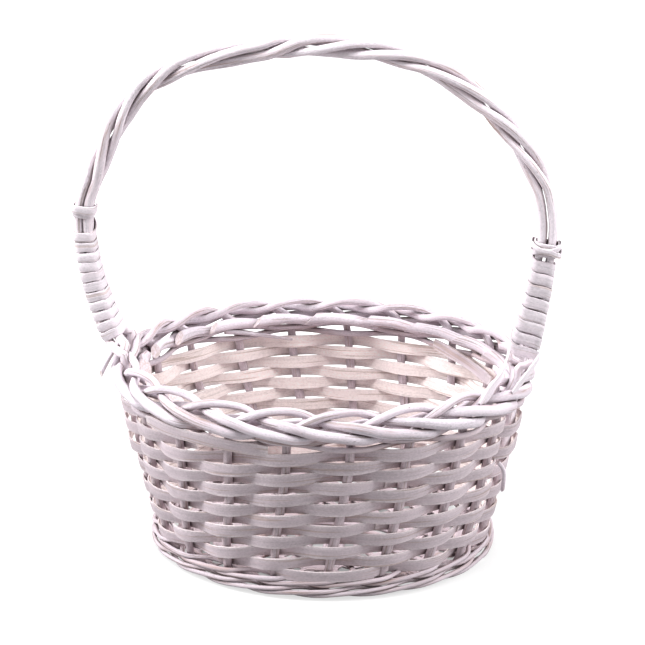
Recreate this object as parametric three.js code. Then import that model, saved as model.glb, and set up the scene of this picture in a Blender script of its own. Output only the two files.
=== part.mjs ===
// Whitewashed willow gift basket with a fixed, bound arch handle.
//
// Frame: millimetres, +Z up, origin on the floor under the centre of the base.
// The handle arches over the basket in the XZ plane; -Y is the front.
//
// Round willow stakes are pushed in beside the sticks of an oval woven base, turn up
// through a few rounds of waling, lean a little as they rise, and are bent down at the top
// into a rolled border. Two chains of flat chip strips chase each other up the wall, over and
// under the stakes: both climb by two rows in each round, at the left front.

import * as THREE from "three";

// Rods and strips

const STAKE_DIAMETER = 5.2;
const STAKE_BUTT_DIAMETER = 3.2;
const STICK_DIAMETER = 3.6;
const HOOP_DIAMETER = 2.8;
const WALE_DIAMETER = 2.8;
const TWINE_DIAMETER = 2.8;
const HANDLE_ROD_DIAMETER = 5.2;
const STRIP_WIDTH = 6.6;
const STRIP_THICKNESS = 1.0;
const BASE_STRIP_WIDTH = 6.0;
const BASE_STRIP_THICKNESS = 1.0;
const WRAP_WIDTH = 5.2;
const WRAP_THICKNESS = 0.9;

// Air left between two pieces that touch, under the bindings, between two rows, and beside a
// crossing

const CLEARANCE = 0.3;
const WRAP_CLEARANCE = 0.6;
const ROW_GAP = 0.47;
const BASE_ROUND_GAP = 0.6;
const STRAND_CLEARANCE = 0.45;
const CROSSING_MARGIN = 1.0;

// Plan of the wall, measured at the centres of the stakes

const FLOOR_HALF_LENGTH = 98;
const FLOOR_HALF_WIDTH = 83;
const RIM_HALF_LENGTH = 121.5;
const RIM_HALF_WIDTH = 101;
const WALL_BULGE = 2.5;

// The rim was pressed down by hand: lower at the front and higher at the back than at its ends

const RIM_TILT = 1.5;

// Stakes: with an even count, each chain of strips passes a stake on the same side every round

const STAKE_PAIRS = 10;
const STAKE_PHASE = -11;
const STAKE_LEAN = 8;
const STAKE_BEND = 4.2;
const STAKE_INSERT = 24;
const WALE_RISE = 0.5;
const WALE_REPEAT = 3;
const FIRST_WALE_STAKE = 6;

// Rows of strip: the stakes between which the chains climb, and the stakes, counted on from
// round to round, at which each strip of the two chains begins and the last one ends

const ROW_COUNT = 12;
const CHAIN_COUNT = 2;
const CLIMB_FROM = 12;
const CLIMB_TO = 16;
const STRIP_ENDS = [
  [17, 39, 57, 75, 97, 113, 133],
  [14, 34, 50, 72, 88, 112, 132],
];
const FLOAT_SHARE = 0.25;

// Base

const BASE_LIFT = 0.4;
const SLATH_SHARE = 0.36;
const SLATH_RUNOUT = 5.5;
const LONG_STICKS = 4;
const BASE_TURNS = 2.75;

// Border

const BORDER_DROP = 2.8;

// Handle

const HANDLE_CROWN_RISE = 191;
const HANDLE_BELLY_RISE = 82;
const HANDLE_HALF_SPAN = 140;
const HANDLE_FULLNESS = 2.25;
const HANDLE_LEG_SHARE = 0.3;
const HANDLE_STEPS = 46;
const HANDLE_QUARTER_TWISTS = 10;
const HANDLE_ROD_DEPTH = 52;
const LINERS_PER_STAKE = 2;
const BUNDLE_SPREAD = 4.4;
const FOOT_SPREAD_SHARE = 0.7;
const FAN_HEIGHT = 8;

// Bindings of the handle

const LEFT_WRAP_TURNS = 11;
const LEFT_WRAP_PITCH = 5.7;
const LEFT_WRAP_LONG_STEP = 13;
const RIGHT_WRAP_TURNS = 9;
const RIGHT_WRAP_PITCH = 6.1;
const RIGHT_WRAP_LONG_STEP = 14;

// Finish

const WHITEWASH = 0xd9d0d6;
const WHITEWASH_WARM = 0xcdb9b4;
const WHITEWASH_BRIGHT = 0xe6dfe8;

const STAKE_COUNT = 2 * STAKE_PAIRS;
const STEP = (2 * Math.PI) / STAKE_COUNT;
const STAKE_RADIUS = STAKE_DIAMETER / 2;
const HANDLE_ROD_RADIUS = HANDLE_ROD_DIAMETER / 2;

// Heights, stacked from the floor to the rim

const HEXAGON_FLAT = Math.cos(Math.PI / 6);
const BASE_REACH = STAKE_RADIUS + CLEARANCE + BASE_STRIP_THICKNESS;
const BASE_LEVEL = BASE_LIFT + BASE_REACH;
const HOOP_LEVELS = [
  (HOOP_DIAMETER / 2) * HEXAGON_FLAT,
  (HOOP_DIAMETER / 2) * HEXAGON_FLAT + HOOP_DIAMETER + CLEARANCE,
];
const BEND_TOP = BASE_LEVEL + STAKE_BEND;
const WALE_LEVELS = [BEND_TOP + WALE_RISE, BEND_TOP + WALE_RISE + WALE_DIAMETER + CLEARANCE];
const ROW_PITCH = STRIP_WIDTH + ROW_GAP;
const FIRST_ROW = WALE_LEVELS[1] + WALE_DIAMETER / 2 + CLEARANCE + STRIP_WIDTH / 2;
const LAST_ROW_TOP = FIRST_ROW + (ROW_COUNT - 1) * ROW_PITCH + STRIP_WIDTH / 2;
const TWINE_LEVELS = [
  LAST_ROW_TOP + CLEARANCE + TWINE_DIAMETER / 2,
  LAST_ROW_TOP + 2 * CLEARANCE + 1.5 * TWINE_DIAMETER,
];
const STRAND_SPACING = STAKE_DIAMETER + STRAND_CLEARANCE;
const BORDER_FOOT = TWINE_LEVELS[1] + TWINE_DIAMETER / 2 + CLEARANCE + STAKE_RADIUS;
const RIM_LEVEL = BORDER_FOOT + BORDER_DROP * STRAND_SPACING;

const lerp = THREE.MathUtils.lerp;
const smooth = (t) => t * t * (3 - 2 * t);

// A place on the wall: v counts stakes, z is the height, out is the distance outward from
// the surface through the centres of the stakes.

function wallAngle(v, z) {
  return THREE.MathUtils.degToRad(STAKE_PHASE + (STAKE_LEAN * z) / RIM_LEVEL) + v * STEP;
}

function wallAxes(z) {
  const t = z / RIM_LEVEL;
  const bulge = WALL_BULGE * 4 * t * (1 - t);
  return {
    a: lerp(FLOOR_HALF_LENGTH, RIM_HALF_LENGTH, t) + bulge,
    b: lerp(FLOOR_HALF_WIDTH, RIM_HALF_WIDTH, t) + bulge,
  };
}

function wallPoint(v, z, out = 0) {
  const { a, b } = wallAxes(z);
  const angle = wallAngle(v, z);
  const normal = new THREE.Vector2(b * Math.cos(angle), a * Math.sin(angle)).normalize();
  const tilt = RIM_TILT * (z / RIM_LEVEL) ** 2 * Math.sin(angle);
  return new THREE.Vector3(
    a * Math.cos(angle) + out * normal.x,
    b * Math.sin(angle) + out * normal.y,
    z + tilt,
  );
}

function wallUp(v, z) {
  return wallPoint(v, z + 1).sub(wallPoint(v, z - 1)).normalize();
}

// Length along the wall from one stake to the next, near v

function stakeSpacing(v, z) {
  const { a, b } = wallAxes(z);
  const angle = wallAngle(v, z);
  return STEP * Math.hypot(a * Math.sin(angle), b * Math.cos(angle));
}

const ROD_SIDES = 5;
const HOOP_SIDES = 6;

// Sections, as points across (outward) and along (upward) a rod or strip

function roundSection(sides, radius) {
  return Array.from({ length: sides }, (_, i) => {
    const angle = (i * 2 * Math.PI) / sides;
    return new THREE.Vector2(radius * Math.cos(angle), radius * Math.sin(angle));
  });
}

function flatSection(thickness, width) {
  const x = thickness / 2;
  const y = width / 2;
  return [
    new THREE.Vector2(x, -y),
    new THREE.Vector2(x, y),
    new THREE.Vector2(-x, y),
    new THREE.Vector2(-x, -y),
  ];
}

// Unit tangents along a run of points

function tangentsOf(points, closed) {
  const count = points.length;
  return points.map((_, i) => {
    const before = closed ? points[(i + count - 1) % count] : points[Math.max(i - 1, 0)];
    const after = closed ? points[(i + 1) % count] : points[Math.min(i + 1, count - 1)];
    return after.clone().sub(before).normalize();
  });
}

// Frames whose across axis points outward, kept square to the run: ups gives the upward
// direction at each point.

function uprightFrames(points, ups, closed = false) {
  const tangents = tangentsOf(points, closed);
  return points.map((point, i) => {
    const across = tangents[i].clone().cross(ups[i]).normalize();
    const along = across.clone().cross(tangents[i]).normalize();
    return { point, across, along };
  });
}

// Frames carried along a run without twisting

function carriedFrames(points) {
  const tangents = tangentsOf(points, false);
  const turn = new THREE.Quaternion();
  const first = Math.abs(tangents[0].z) < 0.9 ? new THREE.Vector3(0, 0, 1) : new THREE.Vector3(1, 0, 0);
  const across = tangents[0].clone().cross(first).normalize();
  return points.map((point, i) => {
    if (i > 0) {
      turn.setFromUnitVectors(tangents[i - 1], tangents[i]);
      across.applyQuaternion(turn);
    }
    across.addScaledVector(tangents[i], -across.dot(tangents[i])).normalize();
    return { point, across: across.clone(), along: across.clone().cross(tangents[i]) };
  });
}

// One closed body swept along frames: sizes scales the section at each frame

function sweep(frames, section, { closed = false, sizes = null } = {}) {
  const sides = section.length;
  const positions = [];
  frames.forEach((frame, i) => {
    const size = sizes ? sizes[i] : 1;
    for (const corner of section) {
      const p = frame.point.clone();
      p.addScaledVector(frame.across, corner.x * size);
      p.addScaledVector(frame.along, corner.y * size);
      positions.push(p.x, p.y, p.z);
    }
  });
  const index = [];
  const spans = closed ? frames.length : frames.length - 1;
  for (let i = 0; i < spans; i += 1) {
    const here = i * sides;
    const next = ((i + 1) % frames.length) * sides;
    for (let j = 0; j < sides; j += 1) {
      const k = (j + 1) % sides;
      index.push(here + j, here + k, next + k);
      index.push(here + j, next + k, next + j);
    }
  }
  if (!closed) {
    const last = (frames.length - 1) * sides;
    for (let j = 1; j < sides - 1; j += 1) {
      index.push(0, j + 1, j);
      index.push(last, last + j, last + j + 1);
    }
  }
  const geometry = new THREE.BufferGeometry();
  geometry.setAttribute("position", new THREE.Float32BufferAttribute(positions, 3));
  geometry.setIndex(index);
  return turnedOutward(geometry);
}

// Reverses the faces if they enclose a negative volume

function turnedOutward(geometry) {
  const position = geometry.getAttribute("position");
  const index = geometry.getIndex().array;
  const [p, q, r] = [new THREE.Vector3(), new THREE.Vector3(), new THREE.Vector3()];
  let volume = 0;
  for (let i = 0; i < index.length; i += 3) {
    p.fromBufferAttribute(position, index[i]);
    q.fromBufferAttribute(position, index[i + 1]);
    r.fromBufferAttribute(position, index[i + 2]);
    volume += p.dot(q.cross(r));
  }
  if (volume < 0) {
    for (let i = 0; i < index.length; i += 3) {
      [index[i + 1], index[i + 2]] = [index[i + 2], index[i + 1]];
    }
  }
  geometry.computeVertexNormals();
  return geometry;
}

const basket = new THREE.Group();

function addPiece(name, geometry, color, roughness) {
  const material = new THREE.MeshStandardMaterial({ color, roughness, metalness: 0 });
  const mesh = new THREE.Mesh(geometry, material);
  mesh.name = name;
  basket.add(mesh);
}

// Stakes that the rods of the handle are pushed in beside, at the right and left ends

const RIGHT_END = Math.round((0 - STAKE_PHASE - STAKE_LEAN) / (360 / STAKE_COUNT));
const HANDLE_STAKES = [RIGHT_END, RIGHT_END + 1, RIGHT_END + STAKE_PAIRS, RIGHT_END + STAKE_PAIRS + 1];
const LINER_FOOT = RIM_LEVEL - HANDLE_ROD_DEPTH;

function holdsLiners(stake, z) {
  const held = HANDLE_STAKES.some((other) => (other - stake) % STAKE_COUNT === 0);
  return held && z > LINER_FOOT - STRIP_WIDTH;
}

// Place of a handle rod beside its stake: rank 1 touches the stake, rank 2 the first rod

function linerPlace(stake, rank, z) {
  const first = STAKE_RADIUS + HANDLE_ROD_RADIUS + CLEARANCE;
  const offset = first + (rank - 1) * (HANDLE_ROD_DIAMETER + CLEARANCE);
  return stake - offset / stakeSpacing(stake, z);
}

// How far a strip or rod of the given thickness lies from the stakes it passes, and
// where it leaves the float: the chord of the float clears the stake at its middle.

function floatOver(stake, side, z, thickness) {
  const reach = STAKE_RADIUS + CLEARANCE + thickness / 2;
  const liners = holdsLiners(stake, z) ? LINERS_PER_STAKE : 0;
  const bundle = STAKE_RADIUS + liners * (HANDLE_ROD_DIAMETER + CLEARANCE) + CROSSING_MARGIN;
  const before = liners > 0 ? bundle / stakeSpacing(stake, z) : FLOAT_SHARE;
  const from = wallPoint(stake - before, z);
  const to = wallPoint(stake + FLOAT_SHARE, z);
  const sag = from.lerp(to, 0.5).distanceTo(wallPoint(stake + (FLOAT_SHARE - before) / 2, z));
  const chord = side > 0 ? sag : liners > 0 ? 0 : -sag;
  return { from: stake - before, to: stake + FLOAT_SHARE, out: side * (reach + chord) };
}

// A strip or rod woven over and under the stakes, from an inside float at stake first to
// stake last, where its end laps, on the inside, over its own start or that of the next one.

function wovenRun({ first, last, sideOf, levelOf, thickness, section, laps = true }) {
  const run = [];
  for (let stake = first; stake <= last; stake += 1) {
    const float = floatOver(stake, sideOf(stake), levelOf(stake), thickness);
    const lap = laps && stake === last ? thickness + CLEARANCE : 0;
    run.push([float.from, float.out - lap], [float.to, float.out - lap]);
  }
  const points = run.map(([v, out]) => wallPoint(v, levelOf(v), out));
  const ups = run.map(([v]) => wallUp(v, levelOf(v)));
  return sweep(uprightFrames(points, ups), section);
}

// Stakes: butt in the base, bend, leaning wall, then the border

// How one strand of the border runs: stakes passed, spacings outward, spacings down.
// It bends over the top, goes behind one stake, in front of two and in again behind one.

const BORDER_RUN = [
  [0, 0, 1.75],
  [0.05, 0, 1.15],
  [0.14, -0.1, 0.62],
  [0.22, -0.25, 0.43],
  [0.35, -0.55, 0.32],
  [0.6, -0.95, 0.28],
  [0.88, -1.12, 0.42],
  [1.02, -1.12, 0.72],
  [1.13, -0.98, 1.1],
  [1.22, -0.62, 1.32],
  [1.32, -0.02, 1.4],
  [1.45, 0.68, 1.36],
  [1.62, 1.06, 1.36],
  [2.0, 1.08, 1.64],
  [2.5, 1.08, 2.28],
  [2.98, 1.06, 2.62],
  [3.2, 0.8, 2.8],
  [3.38, 0, 2.8],
  [3.56, -0.9, 2.8],
  [3.78, -1.07, 2.74],
  [4.2, -1.18, 2.52],
  [4.42, -1.55, 2.38],
];

function borderPoint(stake, [passed, out, down]) {
  const level = RIM_LEVEL - down * STRAND_SPACING;
  return wallPoint(stake + passed, level, out * STRAND_SPACING);
}

// The bend at the wall's foot, as points inward from the corner and above the base

const BEND_SHARES = [0, 0.33, 0.67, 1];
const BEND_PATH = BEND_SHARES.map((t) => [-STAKE_BEND * (1 - t) * (1 - t), STAKE_BEND * t * t]);

function spokePoint(v, share) {
  return wallPoint(v, BASE_LEVEL).multiply(new THREE.Vector3(share, share, 1));
}

function stakePoints(stake) {
  const corner = spokePoint(stake, 1);
  const inward = new THREE.Vector3(-corner.x, -corner.y, 0).normalize();
  const butt = corner.clone().addScaledVector(inward, STAKE_INSERT);
  const bend = BEND_PATH.map(([across, up]) => {
    const point = wallPoint(stake, BASE_LEVEL + up);
    return point.addScaledVector(inward, -across);
  });
  const borderStart = RIM_LEVEL - BORDER_RUN[0][2] * STRAND_SPACING;
  const wall = [0.25, 0.5, 0.75].map((t) => wallPoint(stake, lerp(BEND_TOP, borderStart, t)));
  const border = BORDER_RUN.map((place) => borderPoint(stake, place));
  return [butt, ...bend, ...wall, ...border];
}

function makeStakes() {
  const section = roundSection(ROD_SIDES, STAKE_RADIUS);
  for (let stake = 0; stake < STAKE_COUNT; stake += 1) {
    const points = stakePoints(stake);
    const sizes = points.map((_, i) => (i === 0 ? STAKE_BUTT_DIAMETER / STAKE_DIAMETER : 1));
    const number = String(stake + 1).padStart(2, "0");
    addPiece(`stake_${number}`, sweep(carriedFrames(points), section, { sizes }), WHITEWASH_BRIGHT, 0.8);
  }
}

// Base edge: two hoops under the bends, then two rounds of waling

// Least distance outward at which a rod at this level clears the bend of a stake

function clearOfBend(level, radius) {
  const reach = STAKE_RADIUS + radius + CLEARANCE;
  let least = -Infinity;
  for (let i = 0; i < BEND_PATH.length - 1; i += 1) {
    for (let t = 0; t <= 1; t += 0.1) {
      const across = lerp(BEND_PATH[i][0], BEND_PATH[i + 1][0], t);
      const height = BASE_LEVEL + lerp(BEND_PATH[i][1], BEND_PATH[i + 1][1], t);
      const flare = wallAxes(height).a - wallAxes(level).a;
      const rise = height - level;
      const out = across + flare + Math.sqrt(Math.max(reach * reach - rise * rise, 0));
      least = Math.max(least, Math.abs(rise) < reach ? out : -Infinity);
    }
  }
  return least;
}

function makeHoops() {
  const section = roundSection(HOOP_SIDES, HOOP_DIAMETER / 2);
  HOOP_LEVELS.forEach((level, i) => {
    const out = clearOfBend(level, HOOP_DIAMETER / 2);
    const places = Array.from({ length: 2 * STAKE_COUNT }, (_, j) => j / 2);
    const points = places.map((v) => wallPoint(v, level, out));
    const ups = places.map(() => new THREE.Vector3(0, 0, 1));
    const frames = uprightFrames(points, ups, true);
    addPiece(`base_hoop_${i + 1}`, sweep(frames, section, { closed: true }), WHITEWASH, 0.85);
  });
}

function makeWales() {
  const section = roundSection(ROD_SIDES, WALE_DIAMETER / 2);
  WALE_LEVELS.forEach((level, i) => {
    const behind = (stake) => (stake + i) % WALE_REPEAT === 0;
    const first = FIRST_WALE_STAKE + (WALE_REPEAT - 1) * i;
    const round = wovenRun({
      first,
      last: first + STAKE_COUNT,
      sideOf: (stake) => (behind((stake - first) % STAKE_COUNT + first) ? -1 : 1),
      levelOf: () => level,
      thickness: WALE_DIAMETER,
      section,
    });
    addPiece(`wale_${i + 1}`, round, WHITEWASH, 0.85);
  });
}

// Height of a chain of strips at stake v, counted on from round to round: the start of the
// second chain lies on the waling before it climbs

function chainLevel(chain, v) {
  const past = (v - CLIMB_TO) / STAKE_COUNT;
  const rounds = Math.floor(past);
  const beyond = (past - rounds) * STAKE_COUNT - (STAKE_COUNT + CLIMB_FROM - CLIMB_TO);
  const climb = smooth(THREE.MathUtils.clamp(beyond / (CLIMB_TO - CLIMB_FROM), 0, 1));
  const rows = Math.max(chain + CHAIN_COUNT * (rounds + climb), 0);
  return FIRST_ROW + rows * ROW_PITCH;
}

function makeRows() {
  const section = flatSection(STRIP_THICKNESS, STRIP_WIDTH);
  for (let row = 0; row < ROW_COUNT; row += 1) {
    const chain = row % CHAIN_COUNT;
    const ends = STRIP_ENDS[chain];
    const strip = (row - chain) / CHAIN_COUNT;
    const run = wovenRun({
      first: ends[strip],
      last: ends[strip + 1],
      sideOf: (stake) => ((stake + chain) % 2 === 0 ? 1 : -1),
      levelOf: (v) => chainLevel(chain, v),
      thickness: STRIP_THICKNESS,
      section,
      laps: strip + 2 < ends.length,
    });
    addPiece(`row_${String(row + 1).padStart(2, "0")}`, run, WHITEWASH_WARM, 0.85);
  }
}

// Two thin rods twined under the border

function makeTwines() {
  const section = roundSection(ROD_SIDES, TWINE_DIAMETER / 2);
  TWINE_LEVELS.forEach((level, i) => {
    const first = 1 + i;
    const round = wovenRun({
      first,
      last: first + STAKE_COUNT,
      sideOf: (stake) => ((stake + i) % 2 === 0 ? 1 : -1),
      levelOf: () => level,
      thickness: TWINE_DIAMETER,
      section,
    });
    addPiece(`twine_${i + 1}`, round, WHITEWASH, 0.85);
  });
}

// Base sticks: long ones over short ones in the middle, each end beside a stake's butt

const STICK_OFFSET = STAKE_RADIUS + STICK_DIAMETER / 2 + CLEARANCE;
const STICK_END = 8;

function besideSpoke(v, share, offset) {
  const point = spokePoint(v, share);
  const outward = new THREE.Vector3(point.x, point.y, 0).normalize();
  const sideways = new THREE.Vector3(outward.y, -outward.x, 0);
  return point.addScaledVector(sideways, offset);
}

function stickEnd(v, level) {
  const reach = Math.hypot(spokePoint(v, 1).x, spokePoint(v, 1).y);
  const kink = besideSpoke(v, SLATH_SHARE, 0);
  kink.z = level;
  return [
    besideSpoke(v, 1 - STICK_END / reach, STICK_OFFSET),
    besideSpoke(v, 1 - STAKE_INSERT / reach, STICK_OFFSET),
    besideSpoke(v, SLATH_SHARE + SLATH_RUNOUT / reach, 0),
    kink,
  ];
}

function addStick(name, from, to, level) {
  const points = [...stickEnd(from, level), ...stickEnd(to, level).reverse()];
  const section = roundSection(ROD_SIDES, STICK_DIAMETER / 2);
  addPiece(name, sweep(carriedFrames(points), section), WHITEWASH, 0.85);
}

function makeSticks() {
  const lift = (STICK_DIAMETER + CLEARANCE) / 2;
  for (let i = 0; i < LONG_STICKS; i += 1) {
    const from = i + 1 - LONG_STICKS / 2;
    addStick(`long_stick_${i + 1}`, from, STAKE_PAIRS + 1 - from, BASE_LEVEL + lift);
  }
  for (let i = 0; i < STAKE_PAIRS - LONG_STICKS; i += 1) {
    const from = i + 1 + LONG_STICKS / 2;
    addStick(`short_stick_${i + 1}`, from, 1 - from, BASE_LEVEL - lift);
  }
}

// Base weavers: two strips chase each other outward, one over and one under each spoke

const FIRST_ROUND = SLATH_SHARE + (SLATH_RUNOUT + BASE_STRIP_WIDTH / 2) / FLOOR_HALF_WIDTH;
const ROUND_SHARE = (BASE_STRIP_WIDTH + BASE_ROUND_GAP) / FLOOR_HALF_WIDTH;

function baseFloat(v, share) {
  const spoke = spokePoint(v, share);
  const reach = Math.hypot(spoke.x, spoke.y);
  const spacing = reach * STEP;
  const full = reach / share;
  const paired = share > 1 - (STAKE_INSERT + BASE_STRIP_WIDTH) / full;
  const radius = paired ? STAKE_RADIUS : STICK_DIAMETER / 2;
  const pair = STAKE_RADIUS + STICK_DIAMETER + CLEARANCE + CROSSING_MARGIN;
  return {
    before: paired ? Math.max(pair / spacing, FLOAT_SHARE) : FLOAT_SHARE,
    lift: radius + CLEARANCE + BASE_STRIP_THICKNESS / 2,
  };
}

function makeBaseWeavers() {
  const section = flatSection(BASE_STRIP_THICKNESS, BASE_STRIP_WIDTH);
  for (let weaver = 0; weaver < 2; weaver += 1) {
    const start = weaver * STAKE_PAIRS;
    const points = [];
    for (let i = 0; i <= BASE_TURNS * STAKE_COUNT; i += 1) {
      const shareAt = (passed) => FIRST_ROUND + (2 * ROUND_SHARE * passed) / STAKE_COUNT;
      const { before, lift } = baseFloat(start + i, shareAt(i));
      const side = (i + weaver) % 2 === 0 ? 1 : -1;
      for (const passed of [i - before, i + FLOAT_SHARE]) {
        const point = spokePoint(start + passed, shareAt(passed));
        point.z = BASE_LEVEL + side * lift;
        points.push(point);
      }
    }
    const ups = points.map((point) => new THREE.Vector3(point.x, point.y, 0).normalize());
    addPiece(`base_weaver_${weaver + 1}`, sweep(uprightFrames(points, ups), section), WHITEWASH_WARM, 0.85);
  }
}

// Handle: the centre line of the bundle

class HandleLine extends THREE.Curve {
  getPoint(t) {
    const side = t < 0.5 ? -1 : 1;
    const along = 1 - Math.abs(2 * t - 1);
    if (along < HANDLE_LEG_SHARE) {
      const climb = along / HANDLE_LEG_SHARE;
      const x = lerp(RIM_HALF_LENGTH, HANDLE_HALF_SPAN, Math.sin((Math.PI / 2) * climb));
      return new THREE.Vector3(side * x, 0, RIM_LEVEL + climb * HANDLE_BELLY_RISE);
    }
    const angle = (Math.PI / 2) * ((along - HANDLE_LEG_SHARE) / (1 - HANDLE_LEG_SHARE));
    const power = 2 / HANDLE_FULLNESS;
    const x = HANDLE_HALF_SPAN * Math.cos(angle) ** power;
    const rise = (HANDLE_CROWN_RISE - HANDLE_BELLY_RISE) * Math.sin(angle) ** power;
    return new THREE.Vector3(side * x, 0, RIM_LEVEL + HANDLE_BELLY_RISE + rise);
  }
}

const HANDLE_LINE = new HandleLine();
HANDLE_LINE.arcLengthDivisions = 800;
const HANDLE_LENGTH = HANDLE_LINE.getLength();
const LEFT_WRAP_LENGTH = LEFT_WRAP_TURNS * LEFT_WRAP_PITCH + LEFT_WRAP_LONG_STEP;
const RIGHT_WRAP_LENGTH = RIGHT_WRAP_TURNS * RIGHT_WRAP_PITCH + RIGHT_WRAP_LONG_STEP;
const TIGHT_RADIUS = (HANDLE_ROD_DIAMETER + STRAND_CLEARANCE) / Math.SQRT2;
const WRAP_START = FAN_HEIGHT + WRAP_WIDTH / 2;

// Where the front or back pair of rods goes down into the wall, beside a stake

const SLOT_LEVEL = RIM_LEVEL + STAKE_RADIUS;

function stakeOfPair(right, front) {
  return HANDLE_STAKES[(right ? 0 : 2) + (front === right ? 0 : 1)];
}

function slotsOfPair(right, front) {
  const stake = stakeOfPair(right, front);
  return [1, 2].map((rank) => wallPoint(linerPlace(stake, rank, SLOT_LEVEL), SLOT_LEVEL));
}

// The bundle at a length from the left foot: centre, outward and frontward directions,
// its radius at the rods' centres and the turn of the rods about it. Toward the foot its
// front and back pairs of rods draw apart, each by its own spread.

function bundleAt(length) {
  const t = THREE.MathUtils.clamp(length / HANDLE_LENGTH, 0, 1);
  const tangent = HANDLE_LINE.getTangentAt(t);
  const fromFoot = Math.min(length, HANDLE_LENGTH - length);
  const wrapLength = length < HANDLE_LENGTH / 2 ? LEFT_WRAP_LENGTH : RIGHT_WRAP_LENGTH;
  const loose = 1 - THREE.MathUtils.clamp((fromFoot - FAN_HEIGHT) / wrapLength, 0, 1);
  const twistFrom = WRAP_START + LEFT_WRAP_LENGTH + WRAP_WIDTH;
  const twistTo = HANDLE_LENGTH - WRAP_START - RIGHT_WRAP_LENGTH - WRAP_WIDTH;
  const twisted = THREE.MathUtils.clamp((length - twistFrom) / (twistTo - twistFrom), 0, 1);
  const radius = TIGHT_RADIUS + BUNDLE_SPREAD * loose;
  const spreadOf = (front) => {
    const [near, far] = slotsOfPair(length > HANDLE_LENGTH / 2, front);
    const slotDistance = Math.abs(near.y + far.y) / 2;
    return FOOT_SPREAD_SHARE * loose * loose * (slotDistance - radius * Math.SQRT1_2);
  };
  return {
    centre: HANDLE_LINE.getPointAt(t),
    outward: new THREE.Vector3(-tangent.z, 0, tangent.x),
    frontward: new THREE.Vector3(0, -1, 0),
    tangent,
    radius,
    turn: -twisted * HANDLE_QUARTER_TWISTS * (Math.PI / 2),
    frontSpread: spreadOf(true),
    backSpread: spreadOf(false),
  };
}

function bundlePoint(length, phase) {
  const bundle = bundleAt(length);
  const front = Math.sin(phase + bundle.turn);
  const spread = front > 0 ? bundle.frontSpread : -bundle.backSpread;
  return bundle.centre
    .addScaledVector(bundle.outward, bundle.radius * Math.cos(phase + bundle.turn))
    .addScaledVector(bundle.frontward, bundle.radius * front + spread);
}

// From the bundle down into the wall: each pair of rods swings from outer and inner to
// side by side, and goes down between the strands of the border beside a stake.

const FAN_STEPS = [0.2, 0.4, 0.6, 0.8, 1];
const FAN_SHIFT_END = 0.7;
const FAN_SWING_START = 0.3;
const LINER_LEVELS = [0, 0.33, 0.67, 1];

function fanPoints(length, phase) {
  const right = length > HANDLE_LENGTH / 2;
  const { centre, outward, radius, turn, frontSpread, backSpread } = bundleAt(length);
  const front = Math.sin(phase + turn) > 0;
  const outer = Math.cos(phase + turn) > 0;
  const stake = stakeOfPair(right, front);
  const rank = outer === (front !== right) ? 1 : 2;
  const slots = slotsOfPair(right, front);
  const slotMiddle = slots[0].clone().lerp(slots[1], 0.5);
  const slotHalf = slots[rank - 1].clone().sub(slotMiddle);
  const bundleMiddle = centre.clone();
  const half = radius * Math.SQRT1_2;
  bundleMiddle.y = front ? -half - frontSpread : half + backSpread;
  const bundleHalf = outward.clone().multiplyScalar(outer ? half : -half);
  return FAN_STEPS.map((t) => {
    const shift = smooth(Math.min(t / FAN_SHIFT_END, 1));
    const swing = (Math.PI / 2) * smooth(Math.max(t - FAN_SWING_START, 0) / (1 - FAN_SWING_START));
    const middle = bundleMiddle.clone().lerp(slotMiddle, shift);
    middle.z = lerp(bundleMiddle.z, slotMiddle.z, t);
    return middle
      .addScaledVector(bundleHalf, Math.cos(swing))
      .addScaledVector(slotHalf, Math.sin(swing));
  }).concat(
    LINER_LEVELS.slice(1).map((t) => {
      const z = lerp(SLOT_LEVEL, LINER_FOOT, t);
      return wallPoint(linerPlace(stake, rank, z), z);
    }),
  );
}

function handleRodPoints(phase) {
  const from = FAN_HEIGHT;
  const to = HANDLE_LENGTH - FAN_HEIGHT;
  const shares = Array.from({ length: HANDLE_STEPS + 1 }, (_, i) => i / HANDLE_STEPS);
  const arch = shares.map((share) => bundlePoint(lerp(from, to, share), phase));
  return [...fanPoints(from, phase).reverse(), ...arch, ...fanPoints(to, phase)];
}

function makeHandleRods() {
  const section = roundSection(ROD_SIDES, HANDLE_ROD_RADIUS);
  for (let i = 0; i < 4; i += 1) {
    const points = handleRodPoints(Math.PI / 4 + (i * Math.PI) / 2);
    addPiece(`handle_rod_${i + 1}`, sweep(carriedFrames(points), section), WHITEWASH_BRIGHT, 0.8);
  }
}

// Bindings: one flat strip wound round the four rods, close turns and one long step

const CORNER_STEPS = 2;

function wrapFrames(side, turns, pitch, longStep) {
  const halfStep = Math.PI / (4 * CORNER_STEPS);
  const reach = (HANDLE_ROD_RADIUS + WRAP_CLEARANCE + WRAP_THICKNESS / 2) / Math.cos(halfStep);
  const frames = [];
  for (let quarter = 0; quarter < 4 * turns + 6; quarter += 1) {
    for (let i = 0; i <= CORNER_STEPS; i += 1) {
      const turned = (quarter + i / CORNER_STEPS) / 4;
      const stepped = THREE.MathUtils.clamp(turned - turns, 0, 1);
      const height = WRAP_START + Math.min(turned, turns) * pitch + stepped * longStep;
      const length = side < 0 ? height : HANDLE_LENGTH - height;
      const { centre, outward, frontward, tangent, radius, frontSpread, backSpread } = bundleAt(length);
      const angle = turned * 2 * Math.PI;
      const middle = (quarter + 0.5) * (Math.PI / 2);
      const half = radius * Math.SQRT1_2;
      const forward = Math.sin(middle) > 0 ? half + frontSpread : -half - backSpread;
      const corner = centre
        .addScaledVector(outward, Math.sign(Math.cos(middle)) * half)
        .addScaledVector(frontward, forward);
      const across = outward.multiplyScalar(Math.cos(angle)).addScaledVector(frontward, Math.sin(angle));
      frames.push({ point: corner.addScaledVector(across, reach), across, along: tangent });
    }
  }
  return frames;
}

// Least gap between the edges of the turns, measured on the points of the strip

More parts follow.
